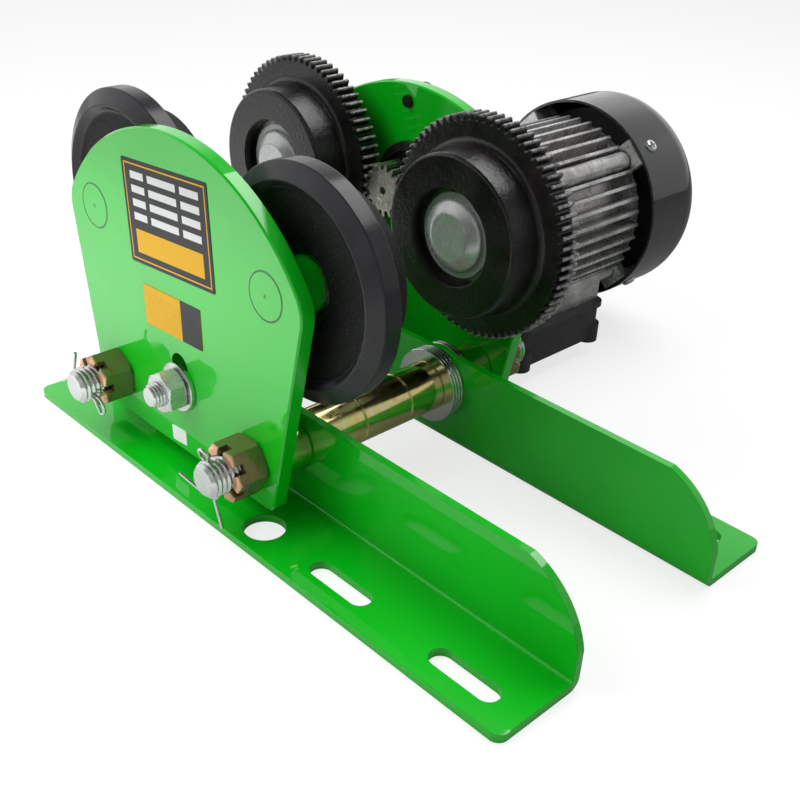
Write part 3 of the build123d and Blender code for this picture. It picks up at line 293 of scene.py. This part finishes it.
def raw_aluminium(name="raw_aluminium", axis=None):
    """Cast aluminium with grime. Round an axis, painted shade darkens it between the fins, broken
    up by a noise, and leaves their tips bright.
    """
    s = Shader(name)
    streaks = s.noise(1.0, 4, 0.6, 0.0, s.stretched(420, 40, 420))
    base = s.vary(streaks, (0.56, 0.56, 0.56), (0.84, 0.83, 0.83))
    grime = s.ramp(s.noise(60, 4, 0.65), (0.40, 0.0), (0.72, 0.8))
    base = s.mix(grime, base, (0.22, 0.20, 0.19))
    if axis:
        # Painted shade: darker between the fins, towards the barrel, broken up by a noise.
        fin_gap_shade = s.near_axis(*axis, 46.5 * MM, 52.5 * MM)
        shade_breakup = s.ramp(s.noise(90, 4, 0.7), (0.3, 0.1), (0.6, 0.7))
        base = s.mix(s.times(fin_gap_shade, shade_breakup), base, (0.24, 0.22, 0.21))
    s.set(Base_Color=base, Metallic=0.6, Roughness=s.vary(s.noise(350, 3), 0.22, 0.38))
    s.bump(s.math("ADD", streaks, s.noise(900, 3)), 0.2, 0.0003, s.rounded(0.0006))
    return s.material


def dark_casting():
    s = Shader("dark_casting")
    base = s.vary(s.noise(120, 4), (0.022, 0.021, 0.021), (0.06, 0.058, 0.057))
    s.set(Base_Color=base, Metallic=0.4, Roughness=s.vary(s.noise(300), 0.32, 0.5))
    s.bump(s.noise(620, 4, 0.6), 0.3, 0.0004, s.rounded(0.0008))
    return s.material


def satin_black():
    """Stoved black paint of the fan cover."""
    s = Shader("black_cover")
    base = s.vary(s.noise(45, 3), (0.022, 0.021, 0.022), (0.032, 0.030, 0.032))
    s.set(Base_Color=base, Roughness=s.vary(s.noise(260, 3), 0.34, 0.46), Specular_IOR_Level=0.2)
    s.set(Coat_Weight=1.0, Coat_Roughness=0.06)
    s.bump(s.noise(1100, 2), 0.08, 0.0002, s.rounded(0.0008))
    return s.material


def black_plastic():
    s = Shader("black_plastic")
    base = s.vary(s.noise(50, 3), (0.025, 0.022, 0.025), (0.038, 0.034, 0.037))
    s.set(Base_Color=base, Roughness=s.vary(s.noise(180), 0.42, 0.56))
    s.bump(s.noise(2200, 2), 0.2, 0.0002, s.rounded(0.0008))
    return s.material


def plain_grain(name, dark, light, metallic, rough):
    """A tone that varies over the surface, with a fine grain: screws and inner pieces."""
    s = Shader(name)
    s.set(Base_Color=s.vary(s.noise(150, 4), dark, light), Metallic=metallic)
    s.set(Roughness=s.vary(s.noise(400), rough, rough + 0.15))
    s.bump(s.noise(900, 3), 0.15, 0.0002)
    return s.material


def blank_label(name, size, ground, trim, blocks):
    """Vinyl label with a ruled frame and plain blocks of colour.

    Its size is in millimetres. A block spans shares of the width and height.
    """
    frame_outside, frame_inside = 1.8, 2.5
    s = Shader(name)
    grain = s.noise(700, 3, 0.6)
    vinyl = s.vary(grain, tuple(0.85 * tone for tone in ground), ground)
    parts = s.split(s.node("ShaderNodeTexCoord").outputs["UV"])

    def within(value, low, high):
        found = s.math("COMPARE", value, (low + high) / 2)
        found.node.inputs[2].default_value = (high - low) / 2
        return found

    def block(span_u, span_v):
        return s.times(within(parts["X"], *span_u), within(parts["Y"], *span_v))

    def inset(depth):
        return block(*[(depth / length, 1 - depth / length) for length in size])

    rule = s.math("SUBTRACT", inset(frame_outside), inset(frame_inside))
    colour = s.mix(rule, vinyl, trim)
    for span_u, span_v, tone in blocks:
        colour = s.mix(block(span_u, span_v), colour, tone)
    s.set(Base_Color=colour, Roughness=s.vary(s.noise(90), 0.28, 0.38), Specular_IOR_Level=0.2)
    s.bump(grain, 0.05, 0.0001)
    return s.material


def white_sticker():
    s = Shader("white_sticker")
    base = s.vary(s.noise(200, 3), (0.84, 0.84, 0.83), (0.92, 0.92, 0.91))
    s.set(Base_Color=base, Roughness=0.45)
    s.bump(s.noise(1200, 2), 0.1, 0.0001)
    return s.material


zinc = bright_zinc()
cover_low, cover_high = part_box("fan_cover")
motor_x = (cover_low.x + cover_high.x) / 2
motor_z = (cover_low.z + cover_high.z) / 2
slots = {
    "green_paint": green_paint(),
    "black_gear": oily_black(),
    "yellow_zinc": yellow_zinc(),
    "bright_zinc": zinc,
    "bare_steel": bare_steel(),
    "dark_screw": plain_grain("dark_screw", (0.03, 0.03, 0.03), (0.07, 0.07, 0.07), 0.9, 0.3),
    "raw_aluminium": raw_aluminium(),
    "dark_casting": dark_casting(),
    "black_cover": satin_black(),
    "black_plastic": black_plastic(),
    "lamination": plain_grain("lamination", (0.22, 0.22, 0.23), (0.36, 0.36, 0.38), 1.0, 0.35),
    "copper": plain_grain("copper", (0.40, 0.15, 0.06), (0.62, 0.28, 0.13), 0.8, 0.3),
    "pale_plastic": plain_grain("pale_plastic", (0.62, 0.62, 0.59), (0.72, 0.72, 0.69), 0.0, 0.4),
}
own_finish = {
    "idler_wheel_left": black_cast("black_cast_left", LEFT_AXLE),
    "idler_wheel_right": black_cast("black_cast_right", RIGHT_AXLE),
    "drive_wheel_left": oily_black("black_gear_left", LEFT_AXLE),
    "drive_wheel_right": oily_black("black_gear_right", RIGHT_AXLE),
    "motor_frame": raw_aluminium("finned_aluminium", (motor_x, motor_z)),
    "axle_tab_washers": bright_zinc("dull_zinc", 0.42, 0.34, 0.5),
    "centre_nut": bright_zinc("satin_zinc", 0.70, 0.24, 0.55),
}
slot_of = {row["node"]: row["material_slot"] for row in frame["record"]["subparts"]}
for name, node in nodes.items():
    node.data.materials.clear()
    node.data.materials.append(own_finish.get(name) or slots[slot_of[name]])


# Mesh helpers
def add_mesh(name, build, material, body):
    """A new piece from a function that fills a bmesh in metres, riding on a body."""
    mesh = bpy.data.meshes.new(name)
    shape = bmesh.new()
    build(shape)
    bmesh.ops.recalc_face_normals(shape, faces=shape.faces)
    shape.to_mesh(mesh)
    shape.free()
    mesh.materials.append(material)
    piece = bpy.data.objects.new(name, mesh)
    scene.collection.objects.link(piece)
    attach(piece, body)
    return piece


def smooth(piece, degrees=35):
    """Smooth shading with edges kept sharp beyond an angle."""
    for face in piece.data.polygons:
        face.use_smooth = True
    piece.data.set_sharp_from_angle(angle=math.radians(degrees))
    return piece


def sweep(shape, rings, closed_end=True):
    """Joins rings of points into a skin, with its ends filled or the last one open."""
    loops = [[shape.verts.new(point) for point in ring] for ring in rings]
    count = len(loops[0])
    for low, high in zip(loops, loops[1:]):
        for i in range(count):
            j = (i + 1) % count
            shape.faces.new((low[i], low[j], high[j], high[i]))
    shape.faces.new(loops[0])
    if closed_end:
        shape.faces.new(loops[-1])


def turns(count):
    """Angles once round, in even steps."""
    return [math.tau * i / count for i in range(count)]


def thread_radius(y, angle, radius, pitch, depth):
    """Radius of a helical thread with flattened crests and roots."""
    crest, flank = 0.12, 0.76
    phase = (y / pitch + angle / math.tau) % 1.0
    rise = min(1.0, max(0.0, (abs(phase - 0.5) * 2 - crest) / flank))
    return radius - depth * rise


def threaded_shaft(shape, x, z, radius, pitch, depth, chamfer, runs):
    """A shaft along Y with chamfered ends.

    Its runs have a start, an end and whether they are threaded.
    """
    segments, steps_per_pitch, run_out = 40, 10, 0.1 * MM
    low, high = runs[0][0], runs[-1][1]
    stations = []
    for start, end, is_threaded in runs:
        if is_threaded:
            steps = max(1, round((end - start) / pitch * steps_per_pitch))
            stations += [(start + (end - start) * i / steps, True) for i in range(steps + 1)]
        else:
            stations += [(start + run_out, False), (end - run_out, False)]
    rings = []
    for y, is_threaded in stations:
        room = radius - chamfer + min(y - low, high - y)
        ring = []
        for angle in turns(segments):
            r = thread_radius(y, angle, radius, pitch, depth) if is_threaded else radius
            r = min(r, room)
            ring.append((x + r * math.cos(angle), y, z + r * math.sin(angle)))
        rings.append(ring)
    sweep(shape, rings)


def turned_piece(shape, x, z, base, out, profile):
    """A closed body turned about Y, from heights over its base and radii in millimetres."""
    segments = 48
    rings = []
    for height, radius in profile:
        y, r = base + out * height * MM, radius * MM
        rings.append([(x + r * math.cos(a), y, z + r * math.sin(a)) for a in turns(segments)])
    sweep(shape, rings)


# Tie rods with threaded ends, in place of the plain ones
rod_size = dict(radius=9 * MM, pitch=2.5 * MM, depth=1.1 * MM, chamfer=2.2 * MM)
near_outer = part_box("near_side_plate")[0].y
far_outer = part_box("far_side_plate")[1].y
rod_z = (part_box("tie_rod_left")[0].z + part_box("tie_rod_left")[1].z) / 2
for side in ("left", "right"):
    low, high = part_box(f"tie_rod_{side}")
    x = (low.x + high.x) / 2
    runs = [(low.y, near_outer, True), (near_outer, far_outer, False), (far_outer, high.y, True)]
    rod = add_mesh(
        f"threaded_rod_{side}",
        lambda shape: threaded_shaft(shape, x, rod_z, runs=runs, **rod_size),
        zinc,
        "frame",
    )
    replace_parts(smooth(rod), f"tie_rod_{side}")

# Centre bolt with a threaded shank
bolt_size = dict(radius=6 * MM, pitch=1.75 * MM, depth=0.8 * MM, chamfer=1.4 * MM)
bolt_head = 7.5 * MM
bolt_low, bolt_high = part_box("centre_bolt")
bolt_z = (bolt_low.z + bolt_high.z) / 2
head_y = bolt_high.y - bolt_head


def centre_bolt(shape):
    threaded_shaft(shape, 0, bolt_z, runs=[(bolt_low.y, head_y, True)], **bolt_size)
    corner_r = (bolt_high.z - bolt_low.z) / 2
    corners = [math.radians(30) + angle for angle in turns(6)]
    rings = []
    for y, share in ((head_y, 1.0), (bolt_high.y - 1 * MM, 1.0), (bolt_high.y, 0.9)):
        r = share * corner_r
        rings.append([(r * math.cos(a), y, bolt_z + r * math.sin(a)) for a in corners])
    sweep(shape, rings)


bolt = add_mesh("threaded_centre_bolt", centre_bolt, zinc, "frame")
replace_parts(smooth(bolt), "centre_bolt")


# Split cotter pins: one wire from a leg's tip through the rod, round the eye and back
def pin_route(turn, bend, reach, shift, legs):
    """Control points about the rod's axis, in millimetres.

    The eye turns from straight up by degrees, bends further and shifts along Y towards its end.
    """
    gap, leg_start = 0.8, -9.5
    eye = ((gap, 9.2, 0.35), (3.3, reach - 4.4, 0.5), (3.0, reach + 0.6, 1.0))

    def at(across, along, share=0.0):
        lean = math.radians(turn + share * bend)
        sine, cosine = math.sin(lean), math.cos(lean)
        return (across * cosine + along * sine, share * shift, along * cosine - across * sine)

    first, second = legs
    return [
        *reversed(first),
        at(-gap, leg_start),
        at(-gap, 0),
        *[at(-across, along, share) for across, along, share in eye],
        *[at(across, along, share) for across, along, share in reversed(eye)],
        at(gap, 0),
        at(gap, leg_start),
        *second,
    ]


def cotter(name, x, y, route):
    wire_r = 0.85 * MM
    curve = bpy.data.curves.new(name, "CURVE")
    curve.dimensions = "3D"
    curve.bevel_depth = wire_r
    curve.bevel_resolution = 3
    curve.use_fill_caps = True
    spline = curve.splines.new("NURBS")
    spline.points.add(len(route) - 1)
    for point, (dx, dy, dz) in zip(spline.points, route):
        point.co = (x + dx * MM, y + dy * MM, rod_z + dz * MM, 1)
    spline.order_u = 3
    spline.use_endpoint_u = True
    curve.materials.append(zinc)
    piece = bpy.data.objects.new(name, curve)
    scene.collection.objects.link(piece)
    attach(piece, "frame")
    return piece


pin_off_plate = 21.2 * MM
near_pin_y = near_outer - pin_off_plate
far_pin_y = far_outer + pin_off_plate
near_left_legs = (
    ((-9.6, 0.3, 5.0), (-8.8, 0.5, 9.0), (-7.2, 0.5, 14.7)),
    ((-10.0, -0.4, 2.0), (-12.0, -0.8, -0.5), (-18.1, -1.8, -4.8)),
)
near_right_legs = (
    ((-5.0, -0.6, -11.5), (-14.0, -1.8, -9.6), (-22.2, -2.8, -7.5)),
    ((0.9, -0.5, -10.5), (2.0, -0.5, -13.0), (6.3, -0.5, -24.3)),
)
far_left_legs = (
    ((-8.0, 0.0, 9.0), (-15.0, 0.0, 13.0)),
    ((-6.0, 0.0, 11.0), (-7.0, 0.0, 19.0)),
)
far_right_legs = (
    ((-4.0, 0.0, -12.0), (-14.0, 0.0, -17.0)),
    ((1.0, 0.0, -12.0), (-4.0, 0.0, -21.0)),
)
pins = {
    "cotter_near_left": (-ROD_X, near_pin_y, pin_route(106, 20, 17.5, 1.2, near_left_legs)),
    "cotter_near_right": (ROD_X, near_pin_y, pin_route(-22, 14, 14.6, -4.0, near_right_legs)),
    "cotter_far_left": (-ROD_X, far_pin_y, pin_route(150, 0, 15.0, 0.0, far_left_legs)),
    "cotter_far_right": (ROD_X, far_pin_y, pin_route(-20, 0, 15.0, 0.0, far_right_legs)),
}
for name, (x, y, route) in pins.items():
    pin = cotter(name, x, y, route)
    if name == "cotter_near_right":
        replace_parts(pin, "cotter_pins")


# Slotted nuts, whose slots cross the hexagon itself
def slotted_nut(shape, x, seat, out, turn):
    """A nut from its seat outwards along Y, with one corner turned by degrees from straight up.

    Each of the six castles between the slots has seven profiles of eight points.
    """
    half_flats, bore_r, height = 12.6, 9.05, 17.0
    half_slot, slot_floor = 2.25, 11.5
    chamfer_r, chamfer_slope = 12.1, math.tan(math.radians(30))
    half_side = half_flats * math.tan(math.radians(30))
    inner_span = 30 - math.degrees(math.asin(half_slot / bore_r))
    steps = 3
    profiles = []
    for number in range(6):
        corner = turn + 60 * number
        for step in range(-steps, steps + 1):
            sign = math.copysign(1, step)
            facing = math.radians(corner + sign * 30)
            along = sign * (half_side - abs(step) / steps * (half_side - half_slot))
            outer_x = half_flats * math.sin(facing) - along * math.cos(facing)
            outer_z = half_flats * math.cos(facing) + along * math.sin(facing)
            inner = math.radians(corner + inner_span * step / steps)
            inner_x, inner_z = bore_r * math.sin(inner), bore_r * math.cos(inner)
            outer_r = math.hypot(outer_x, outer_z)
            share = chamfer_r / outer_r
            rise = (outer_r - chamfer_r) * chamfer_slope
            points = (
                (inner_x, 0, inner_z),
                (outer_x * share, 0, outer_z * share),
                (outer_x, rise, outer_z),
                (outer_x, slot_floor, outer_z),
                (outer_x, height - rise, outer_z),
                (outer_x * share, height, outer_z * share),
                (inner_x, height, inner_z),
                (inner_x, slot_floor, inner_z),
            )
            places = [(x + dx * MM, seat + out * dy * MM, rod_z + dz * MM) for dx, dy, dz in points]
            profiles.append([shape.verts.new(place) for place in places])
    first, last = 0, 2 * steps
    for i, low in enumerate(profiles):
        high = profiles[(i + 1) % len(profiles)]
        position = i % (last + 1)
        path = (0, 1, 2, 3, 7) if position == last else tuple(range(8))
        for a, b in zip(path, (*path[1:], path[0])):
            shape.faces.new((low[a], high[a], high[b], low[b]))
        if position in (first, last):
            shape.faces.new(low[3:])


def slotted_nuts(shape):
    slotted_nut(shape, -ROD_X, near_outer, -1, 0)
    slotted_nut(shape, ROD_X, near_outer, -1, 30)
    slotted_nut(shape, -ROD_X, far_outer, 1, 0)
    slotted_nut(shape, ROD_X, far_outer, 1, 0)


nut_low, nut_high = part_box("castle_nuts")
nut_middle, nut_end = (nut_low.y + nut_high.y) / 2, (nut_high.y - nut_low.y) / 2
nut_crown_highlight = (nut_middle, nut_end - 1.8 * MM, nut_end - 0.4 * MM)
# The nuts' zinc is darkened to 0.28 of the tubes': partly tarnish, partly painted dark reflections
# of their surroundings.
nut_zinc = yellow_zinc("nut_zinc", 0.28, 0.14, 0.6, nut_crown_highlight)
nuts = add_mesh("slotted_nuts", slotted_nuts, nut_zinc, "frame")
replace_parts(smooth(nuts, 25), "castle_nuts")

# End caps of the axles, with a broad bevel round the flat
cap_low, cap_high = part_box("axle_end_caps")
cap_profile = (
    (0.0, 18.0),
    (1.2, 18.0),
    (2.1, 17.4),
    (2.7, 16.4),
    (4.9, 12.6),
    (5.3, 11.8),
    (5.5, 11.2),
    (5.5, 10.6),
)


def end_caps(shape):
    for back, out in ((cap_low.y, 1), (cap_high.y, -1)):
        for axle in (LEFT_AXLE, RIGHT_AXLE):
            turned_piece(shape, *axle, back, out, cap_profile)


cap_zinc = bright_zinc("cap_zinc", 0.54, 0.22, 0.55)
caps = add_mesh("bevelled_end_caps", end_caps, cap_zinc, "frame")
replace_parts(smooth(caps, 40), "axle_end_caps")

# Painted-over rivet ends of the axles, a little proud of the plates, with a groove round them.
# Their paint darkens a ring over the groove: painted shade.
rivet_profile = (
    (0.0, 11.5),
    (0.10, 11.3),
    (0.10, 11.1),
    (0.02, 10.95),
    (0.02, 10.8),
    (0.12, 10.6),
    (0.14, 1.1),
    (0.03, 0.5),
)
rivet_axles = {
    "left": (LEFT_AXLE, green_paint("green_groove_shade_left", LEFT_AXLE)),
    "right": (RIGHT_AXLE, green_paint("green_groove_shade_right", RIGHT_AXLE)),
}
for place, face, out in (("near", near_outer, -1), ("far", far_outer, 1)):
    for side, (axle, groove_shade_paint) in rivet_axles.items():
        rivet = add_mesh(
            f"rivet_{place}_{side}",
            lambda shape: turned_piece(shape, *axle, face, out, rivet_profile),
            groove_shade_paint,
            "frame",
        )
        smooth(rivet, 8)


# Blank labels and a plain sticker on the near side plate
def plate_on_face(name, x, z, size, turn, material):
    """A thin rounded rectangle that lies on the near plate, turned in its plane, in millimetres.

    Its UV map runs from 0 to 1 over its width and height.
    """
    across, up = size
    corner_r, corner_steps = 1.0, 4
    layers = ((0.02, 0), (0.25, 0), (0.30, 0.12))
    sine, cosine = math.sin(math.radians(turn)), math.cos(math.radians(turn))
    outline = []
    for quarter, (cx, cz) in enumerate(((1, 1), (-1, 1), (-1, -1), (1, -1))):
        for step in range(corner_steps + 1):
            angle = math.radians(90 * (quarter + step / corner_steps))
            a = cx * (across / 2 - corner_r) + corner_r * math.cos(angle)
            b = cz * (up / 2 - corner_r) + corner_r * math.sin(angle)
            outline.append((a * cosine - b * sine, a * sine + b * cosine))

    def build(shape):
        rings = []
        for height, inset in layers:
            y = near_outer - height * MM
            wide, tall = 1 - inset / across, 1 - inset / up
            rings.append([((x + dx * wide) * MM, y, (z + dz * tall) * MM) for dx, dz in outline])
        sweep(shape, rings)
        layer = shape.loops.layers.uv.new("UVMap")
        for face in shape.faces:
            for loop in face.loops:
                dx, dz = loop.vert.co.x / MM - x, loop.vert.co.z / MM - z
                a, b = dx * cosine + dz * sine, dz * cosine - dx * sine
                loop[layer].uv = (a / across + 0.5, b / up + 0.5)

    add_mesh(name, build, material, "frame")


charcoal, amber, pale = (0.030, 0.030, 0.033), (0.74, 0.41, 0.0), (0.72, 0.74, 0.73)
large_size, small_size, sticker_size = (67, 50), (46.5, 20.5), (12, 8.2)
columns = ((0.10, 0.26), (0.31, 0.64), (0.69, 0.90))
rows = [(low, low + 0.07) for low in (0.43, 0.56, 0.69, 0.82)]
large_blocks = [(column, row, pale) for column in columns for row in rows]
large_blocks.append(((0.10, 0.90), (0.11, 0.34), amber))
small_blocks = [((0.66, 1.0), (0.0, 1.0), charcoal)]
large_label = blank_label("large_blank_label", large_size, charcoal, amber, large_blocks)
small_label = blank_label("small_blank_label", small_size, amber, amber, small_blocks)
plate_on_face("large_blank_label", -4, 50.1, large_size, 4.8, large_label)
plate_on_face("small_blank_label", -3.6, 4.2, small_size, 3.5, small_label)
plate_on_face("plain_sticker", -2.7, -60.4, sticker_size, 5, white_sticker())


# Cross-head screws of the fan cover
def pan_head(shape, origin, out, radius, height):
    """A domed head with a cross recess, seated at origin and facing out.

    Its profile and recess are in shares of the radius and height.
    """
    segments, floor_share, floor_height = 32, 0.75, 0.25
    profile = ((-0.6, 0.5), (0, 1.0), (0.35, 0.99), (0.75, 0.84), (0.95, 0.6))
    arm = ((0.5, -0.1), (0.5, 0.1), (0.12, 0.12))
    rim_steps = (2, 3, 3)
    place = Matrix.Translation(origin) @ out.to_track_quat("Z", "Y").to_matrix().to_4x4()

    def at(x, y, z):
        return place @ Vector((x * radius, y * radius, z * height))

    rings = [[at(r * math.cos(a), r * math.sin(a), z) for a in turns(segments)] for z, r in profile]
    sweep(shape, rings, closed_end=False)
    shape.verts.ensure_lookup_table()
    rim = shape.verts[len(shape.verts) - segments:]
    cross = []
    for angle in turns(4):
        sine, cosine = math.sin(angle), math.cos(angle)
        cross += [(a * cosine - b * sine, a * sine + b * cosine) for a, b in arm]
    mouth = [shape.verts.new(at(x, y, 1)) for x, y in cross]
    floor = [shape.verts.new(at(x * floor_share, y * floor_share, floor_height)) for x, y in cross]
    shape.faces.new(floor)
    start = -1
    for i in range(len(cross)):
        j = (i + 1) % len(cross)
        steps = rim_steps[i % len(arm)]
        run = [rim[(start + k) % segments] for k in range(steps + 1)]
        shape.faces.new((mouth[i], mouth[j], floor[j], floor[i]))
        shape.faces.new((mouth[j], mouth[i], *run))
        start += steps


screw_from_edge, screw_r, screw_height = 12 * MM, 4 * MM, 1.8 * MM
screw_y = cover_low.y + screw_from_edge
cover_r = (cover_high.x - cover_low.x) / 2
for number, angle in enumerate((45, 135, 225, 315)):
    out = Vector((math.cos(math.radians(angle)), 0, math.sin(math.radians(angle))))
    seat = Vector((motor_x, screw_y, motor_z)) + out * cover_r
    head = add_mesh(
        f"cover_screw_{number}",
        lambda shape: pan_head(shape, seat, out, screw_r, screw_height),
        zinc,
        "frame",
    )
    smooth(head, 40)
    if number == 0:
        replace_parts(head, "fan_cover_screws")


# Floor, light and camera
def floor_material():
    """White paper, with the shadow kept.

    The camera sees it brighter, so that it meets a white background, and mirrors see it darker
    behind the object, a painted shadow.
    """
    seen_glow, mirrored_glow = 0.75, 0.05
    paper, shadow_grey, shadow_base = (0.85, 0.85, 0.85), (0.2, 0.2, 0.2), (0.3, 0.3, 0.3)
    back_x, back_y = 0.5, 0.87
    shadow_starts, shadow_full = -0.2, 0.15
    s = Shader("floor")
    rays = s.node("ShaderNodeLightPath").outputs
    seen = rays["Is Camera Ray"]
    mirrored = s.math("MAXIMUM", rays["Is Glossy Ray"], rays["Is Transmission Ray"])
    glow = s.math("ADD", s.times(seen, seen_glow), s.times(mirrored, mirrored_glow))
    parts = s.split()
    back = s.math("ADD", s.times(parts["X"], back_x), s.times(parts["Y"], back_y))
    # Painted shadow: mirrors see the floor darker behind the object.
    mirrored_shadow = s.times(s.fade(back, shadow_full, shadow_starts), mirrored)
    base = s.mix(seen, s.mix(mirrored_shadow, paper, shadow_grey), shadow_base)
    s.set(Base_Color=base, Roughness=0.9, Specular_IOR_Level=0.0)
    s.set(Emission_Color=(1, 1, 1, 1), Emission_Strength=glow)
    return s.material


bpy.ops.mesh.primitive_plane_add(size=12, location=(0, 0, cad_box[0].z))
floor = bpy.context.object
floor.name = "floor"
floor.data.materials.append(floor_material())


def studio_world():
    """White for the camera, and a soft light from the left for the object.

    In mirrors it is white too, and greyer overhead, on the right and behind the camera.
    """
    towards_camera = (0.72, -0.69, 0.0)
    world = bpy.data.worlds.new("studio")
    world.use_nodes = True
    tree = world.node_tree
    rays = tree.nodes.new("ShaderNodeLightPath").outputs

    def chain(kind, settings, feeds, result):
        made = tree.nodes.new(kind)
        for key, value in settings.items():
            setattr(made, key, value)
        for key, value in feeds.items():
            if isinstance(value, bpy.types.NodeSocket):
                tree.links.new(value, made.inputs[key])
            else:
                made.inputs[key].default_value = value
        return made.outputs[result]

    def ramp(value, low, high, at_low, at_high):
        feeds = {"Value": value, "From Min": low, "From Max": high}
        feeds.update({"To Min": at_low, "To Max": at_high})
        return chain("ShaderNodeMapRange", {}, feeds, "Result")

    def combine(operation, a, b):
        return chain("ShaderNodeMath", {"operation": operation}, {0: a, 1: b}, "Value")

    def part(axis):
        return chain("ShaderNodeSeparateXYZ", {}, {"Vector": direction}, axis)

    direction = tree.nodes.new("ShaderNodeTexCoord").outputs["Generated"]
    dot = {"operation": "DOT_PRODUCT"}
    facing = chain("ShaderNodeVectorMath", dot, {0: direction, 1: towards_camera}, "Value")
    overhead = ramp(part("Z"), 0.5, 0.68, 1.0, 0.1)
    behind_camera = ramp(facing, -0.1, 0.5, 1.0, 0.55)
    on_the_right = ramp(part("X"), 0.1, 0.6, 1.0, 0.6)
    backdrop = combine("MULTIPLY", combine("MULTIPLY", overhead, behind_camera), on_the_right)
    reflected = combine("MAXIMUM", rays["Is Glossy Ray"], rays["Is Transmission Ray"])
    soft = ramp(reflected, 0.0, 1.0, ramp(part("X"), -1.0, 1.0, 0.55, 0.15), backdrop)
    strength = ramp(rays["Is Camera Ray"], 0.0, 1.0, soft, 1.0)
    background = tree.nodes["Background"]
    background.inputs["Color"].default_value = (1, 1, 1, 1)
    tree.links.new(strength, background.inputs["Strength"])
    return world


scene.world = studio_world()


def softbox(name, place, aim, size, power, mirrored):
    lamp = bpy.data.lights.new(name, "AREA")
    lamp.shape = "RECTANGLE"
    lamp.size, lamp.size_y = size
    lamp.energy = power
    box = bpy.data.objects.new(name, lamp)
    box.location = place
    box.rotation_euler = (Vector(aim) - Vector(place)).to_track_quat("-Z", "Y").to_euler()
    box.visible_glossy = mirrored
    scene.collection.objects.link(box)


softbox("key", (-0.3, -0.4, 0.5), (-0.15, -0.22, -0.08), (0.5, 0.5), 2.75, False)
softbox("fill", (-0.12, -0.28, 0.07), (-0.12, -0.28, -0.08), (0.45, 0.33), 0.38, False)
softbox("top", (0.06, 0.55, 1.15), (0, 0, 0), (1.0, 0.8), 10.0, True)

# The camera was fitted to the photo. Its focal length is in pixels, its turns in degrees.
focal_px, frame_px, sensor = 1119.97, 800, 36
pan, tilt, roll = 44.317, 60.231, 3.4
eye = (0.4033, -0.3374, 0.2361)
camera = bpy.data.cameras.new("camera")
camera.sensor_width = sensor
camera.lens = sensor * focal_px / frame_px
viewer = bpy.data.objects.new("camera", camera)
turn = Matrix.Rotation(math.radians(pan), 3, "Z") @ Matrix.Rotation(math.radians(tilt), 3, "X")
turn = turn @ Matrix.Rotation(math.radians(roll), 3, "Z")
viewer.matrix_world = Matrix.Translation(eye) @ turn.to_4x4()
scene.collection.objects.link(viewer)
scene.camera = viewer
scene.view_settings.view_transform = "Standard"
